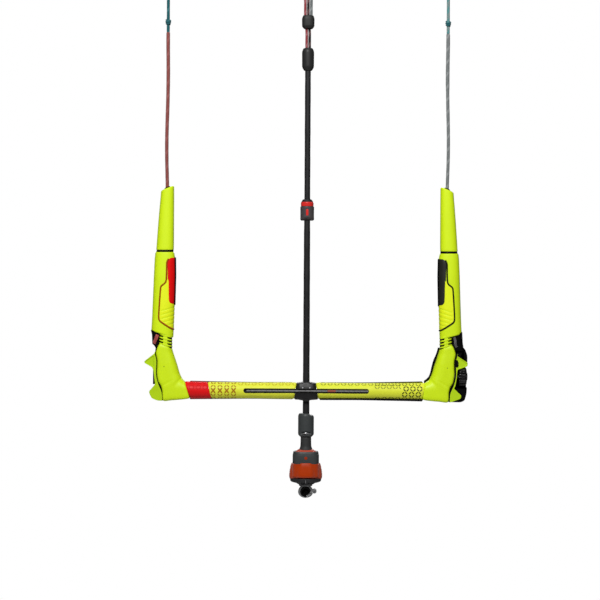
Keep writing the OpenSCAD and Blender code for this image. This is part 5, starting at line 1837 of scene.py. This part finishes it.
@dataclass
class LeaderLine:
    """A leader line with its pigtail, the knot on it and the loop at its top."""

    side: Side
    leader_x: float = 224.0
    leader_d: float = 6.0
    pigtail_d: float = 5.0
    leader_route: tuple = (
        (0, 252), (0, 266), (0, 282), (0, 298), (0, 314), (0, 330), (0, 346), (0, 362), (0, 378), (0, 394),
        (0, 410), (0, 426), (0, 442), (0, 458), (0, 474), (0, 490), (0.4, 506), (0.9, 522), (1.2, 538),
        (1.3, 554), (1.2, 570), (0.9, 586), (0.5, 602), (0.1, 618), (-0.2, 634), (-0.4, 650), (-0.5, 666),
        (-0.4, 682), (-0.2, 698), (0, 714), (0, 734),
    )
    pigtail_route: tuple = (
        (0, 734), (0, 744), (0, 754), (0, 764), (0, 774), (0, 784), (0, 794), (-0.6, 802), (-3, 810),
        (-6.6, 818), (-8.6, 827), (-6.4, 836), (-0.6, 842), (6, 842), (11.8, 836), (14, 827), (12, 818),
        (8.4, 810), (6, 802), (5.4, 794),
    )

    def placed(self, route: Sequence) -> Array:
        """A route's offsets outwards and heights as points on this side."""
        flat = np.asarray(route, float)
        points = np.stack([self.leader_x + flat[:, 0], 0 * flat[:, 0], flat[:, 1]], axis=1)
        return mirrored(points, self.side)

    def build(self) -> None:
        """Both cords, with the wound knot and the binding of the loop."""
        left = self.side is Side.LEFT
        body = self.side.word + "_float"
        thick = ((500, 734), (0.94, 1.0)) if left else ((500, 640, 652, 734), (0.86, 0.9, 1.0, 1.0))
        leader = Line(
            self.side.word + "_leader_cord", self.placed(self.leader_route), self.leader_d,
            Finishes.leader_red if left else Finishes.leader_grey, body, "line_red" if left else "line_grey",
            self.side.word + "_leader_line", swell=thick,
        )
        cord, path = leader.build()
        pigtail = Line(
            self.side.word + "_pigtail_cord", self.placed(self.pigtail_route), self.pigtail_d,
            Finishes.teal if left else Finishes.pale_teal, body, "line_teal", self.side.word + "_pigtail",
        )
        thin, thin_path = pigtail.build()
        turn = np.linspace(0, 2.6 * 2 * math.pi, 120)
        wind = np.stack([
            self.side.value * self.leader_x + 2.9 * np.cos(turn) * (1 - 0.12 * np.cos(turn / 5)),
            2.9 * np.sin(turn), 746.5 + 7.5 * turn / turn[-1] + 1.2 * np.sin(turn)], axis=1)
        size = np.sin(np.linspace(0.3, math.pi - 0.3, 120)) ** 0.3
        knot = grid_piece(self.side.word + "_knot", swept(wind, round_ring(1.75, 16), (0, 0, 1), size))
        fitted(knot, Finishes.teal, body)
        throat = int(np.argmin(np.abs(thin_path[:, 2] - 797) + 9 * (np.arange(len(thin_path)) > 90)))
        grid = whipping(thin_path, throat, 6, self.pigtail_d, 5.0)
        middle = grid.mean(axis=(0, 1))
        grid = (grid - middle)[..., [1, 0, 2]] + middle + np.array([self.side.value * 2.6, 0, 0])
        bound = fitted(grid_piece(self.side.word + "_loop_binding", grid), Finishes.liner, body)


# ---- Trim unit ----


@dataclass
class TrimUnit:
    """The trim unit in the right end: black housing behind the horns, ribbed knob and its button."""

    axis_z: float = 162.0
    knob_z: float = 24.0
    knob_r: float = 15.4
    knob_x: tuple[float, float] = (243.3, 255.9)
    scallops: int = 16
    housing_edge: tuple = (
        (228, -16.8), (247, -17.2), (253.3, -14.5), (256.4, -3), (256.9, 7), (242.4, 7), (242.4, 41),
        (257.4, 41),
        (257.4, 58), (253.8, 67.5), (251, 70.4), (234.2, 70.4), (238.6, 60), (237.4, 47), (237.8, 26),
        (234.8, 11.5),
        (229, -3),
    )

    def build(self) -> None:
        """Housing, pocket, knob and button."""
        edge = filleted(
            self.housing_edge, [3, 3, 3, 3, 1.2, 1, 1, 1.4, 3, 3, 3, 2, 2, 3, 3, 3, 3], closed=True
        )
        lifted = edge + np.array([0, self.axis_z])
        housing = plate_piece("trim_housing_shell", lifted, -4.7, 15.6, 2.0)
        fitted(housing, Finishes.shroud, "bar", ["trim_housing"])
        x0, x1 = self.knob_x
        rows = filleted(
            [(3.1, x0), (self.knob_r - 0.9, x0), (self.knob_r, x0 + 1.2), (self.knob_r, x1 - 2),
             (self.knob_r - 2, x1), (7.4, x1), (6.35, x1 - 0.9), (6.35, 248.1), (3.1, 248.1)],
            [0, 0.6, 1.2, 1.8, 1.8, 0.8, 0.4, 0.2, 0], steps=6,
        )
        grid = turned(rows, 160, (0, 0, self.axis_z + self.knob_z), "x")
        y, z = grid[..., 1], grid[..., 2] - self.axis_z - self.knob_z
        around, far = np.arctan2(z, y), np.hypot(y, z)
        dent = 1.25 * np.clip(np.cos(around * self.scallops), 0, 1) ** 1.5 * np.clip((far - 11) / 3, 0, 1)
        grid[..., 1] = y * (1 - dent / np.maximum(far, 1))
        grid[..., 2] = self.axis_z + self.knob_z + z * (1 - dent / np.maximum(far, 1))
        fitted(
            grid_piece("trim_knob_skin", grid, wrap_rows=True), Finishes.knob, "knob",
            ["trim_knob"],
        )
        cap = filleted(
            [(0, 251.4), (5.9, 251.4), (5.9, 257.2), (5.2, 257.6), (3, 257.1), (0, 256.9)],
            [0, 0.3, 0.4, 0.4, 2, 0],
        )
        button = grid_piece("trim_button_cap", turned(cap, 48, (0, 0, self.axis_z + self.knob_z), "x"))
        fitted(button, Finishes.stopper, "button", ["trim_button"])
        corners = [(237.2, 39.2), (241.3, 39.2), (242.2, 42), (242.2, 47), (240.2, 51), (237.2, 50.6)]
        pocket = filleted(corners, 0.8, closed=True) + np.array([0, self.axis_z])
        fitted(plate_piece("post_pocket", pocket, -14.9, -12, 0.2), Finishes.shroud, "bar")


# ---- The frame's own nodes, the stage and the whole ----


NODE_FINISHES: dict[str, Finish] = {
    "release_spring": Finishes.steel, "swivel_stem": Finishes.steel,
    "gate_pin": Finishes.steel, "stopper_spring": Finishes.steel, "line_bushing": Finishes.steel,
    "bar_tubes": Finishes.aluminium, "bar_screws": Finishes.steel, "left_end_core": Finishes.liner,
    "right_end_core": Finishes.liner, "trim_axle": Finishes.steel, "trim_spool": Finishes.spool,
    "click_spring": Finishes.steel, "button_spring": Finishes.steel, "left_float_sleeve": Finishes.liner,
    "right_float_sleeve": Finishes.liner,
}


def dress_nodes(nodes: dict[str, Piece]) -> None:
    """Gives the frame's nodes that stay their finish."""
    for name, finish in NODE_FINISHES.items():
        data = nodes[name].data
        data.materials.clear()
        data.materials.append(finish.material())
        LOG.info("%s keeps its own shape", name)


@dataclass
class Stage:
    """Floor, light and camera, in metres and degrees."""

    middle: tuple[float, float] = (-0.0107, 0.307)
    distance: float = 2.667
    lens: float = 100.0
    roll: float = 0.33
    floor_z: float = -0.9
    aim: tuple[float, float, float] = (0, 0, 0.3)
    lights: tuple = (
        ("key", (-0.35, -2.1, 1.95), 0.8, 66), ("fill", (0.9, -2.2, 1.2), 0.9, 5),
        ("crown", (0.1, 0.3, 2.0), 0.8, 3), ("back", (0.2, 2.2, 1.4), 1.4, 22),
    )
    floor_half: tuple[float, float] = (2.4, 1.2)

    def softbox(self, name: str, place: Sequence[float], size: float, power: float) -> None:
        """A square area light that points at the object's middle."""
        light = bpy.data.lights.new(name, "AREA")
        light.size, light.energy = size, power
        lamp = bpy.data.objects.new(name, light)
        bpy.context.scene.collection.objects.link(lamp)
        direction = Vector(self.aim) - Vector(place)
        lamp.location = place
        lamp.rotation_euler = direction.to_track_quat("-Z", "Y").to_euler()

    def build(self) -> None:
        """The camera straight on, soft light from above its shoulder and a white, dim surround."""
        scene = bpy.context.scene
        camera = bpy.data.objects.new("camera", bpy.data.cameras.new("camera"))
        scene.collection.objects.link(camera)
        camera.data.lens, camera.data.sensor_width = self.lens, 36.0
        camera.location = (self.middle[0], -self.distance, self.middle[1])
        camera.rotation_euler = (math.radians(90), math.radians(-self.roll), 0)
        scene.camera = camera
        for name, place, size, power in self.lights:
            self.softbox(name, place, size, power)
        world = bpy.data.worlds.new("studio")
        scene.world = world
        world.use_nodes = True
        s = Shader(world.node_tree)
        background = world.node_tree.nodes["Background"]
        seen = s.add("LightPath").outputs["Is Camera Ray"]
        s.feed(background.inputs["Color"], s.blend(seen, (0.055, 0.055, 0.056), (1.0, 1.0, 1.0)))
        background.inputs["Strength"].default_value = 1.0
        half_x, half_y = self.floor_half
        corners = [(x, y, self.floor_z) for y in (-half_y, half_y) for x in (-half_x, half_x)]
        floor = mesh_object("floor", np.array(corners) / MM, [[0, 1, 3, 2]])
        floor.data.materials.append(Moulding("floor_pale", (0.82, 0.82, 0.81), 0.6, mottle=0.02).material())
        scene.view_settings.view_transform = "Standard"


def main() -> None:
    """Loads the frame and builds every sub-assembly."""
    logging.basicConfig(level=logging.INFO, format="%(name)s: %(message)s")
    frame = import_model()
    Stage().build()
    dress_nodes(frame["nodes"])
    for part in (Release(), Swivel(), LineHead(), Stopper(), Bar(), TrimUnit()):
        part.build()
        LOG.info("%s is built", type(part).__name__)
    for side in Side:
        BarEnd(side).build()
        LeaderLine(side).build()
        LOG.info("%s end is built", side.word)
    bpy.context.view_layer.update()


if __name__ == "__main__":
    main()
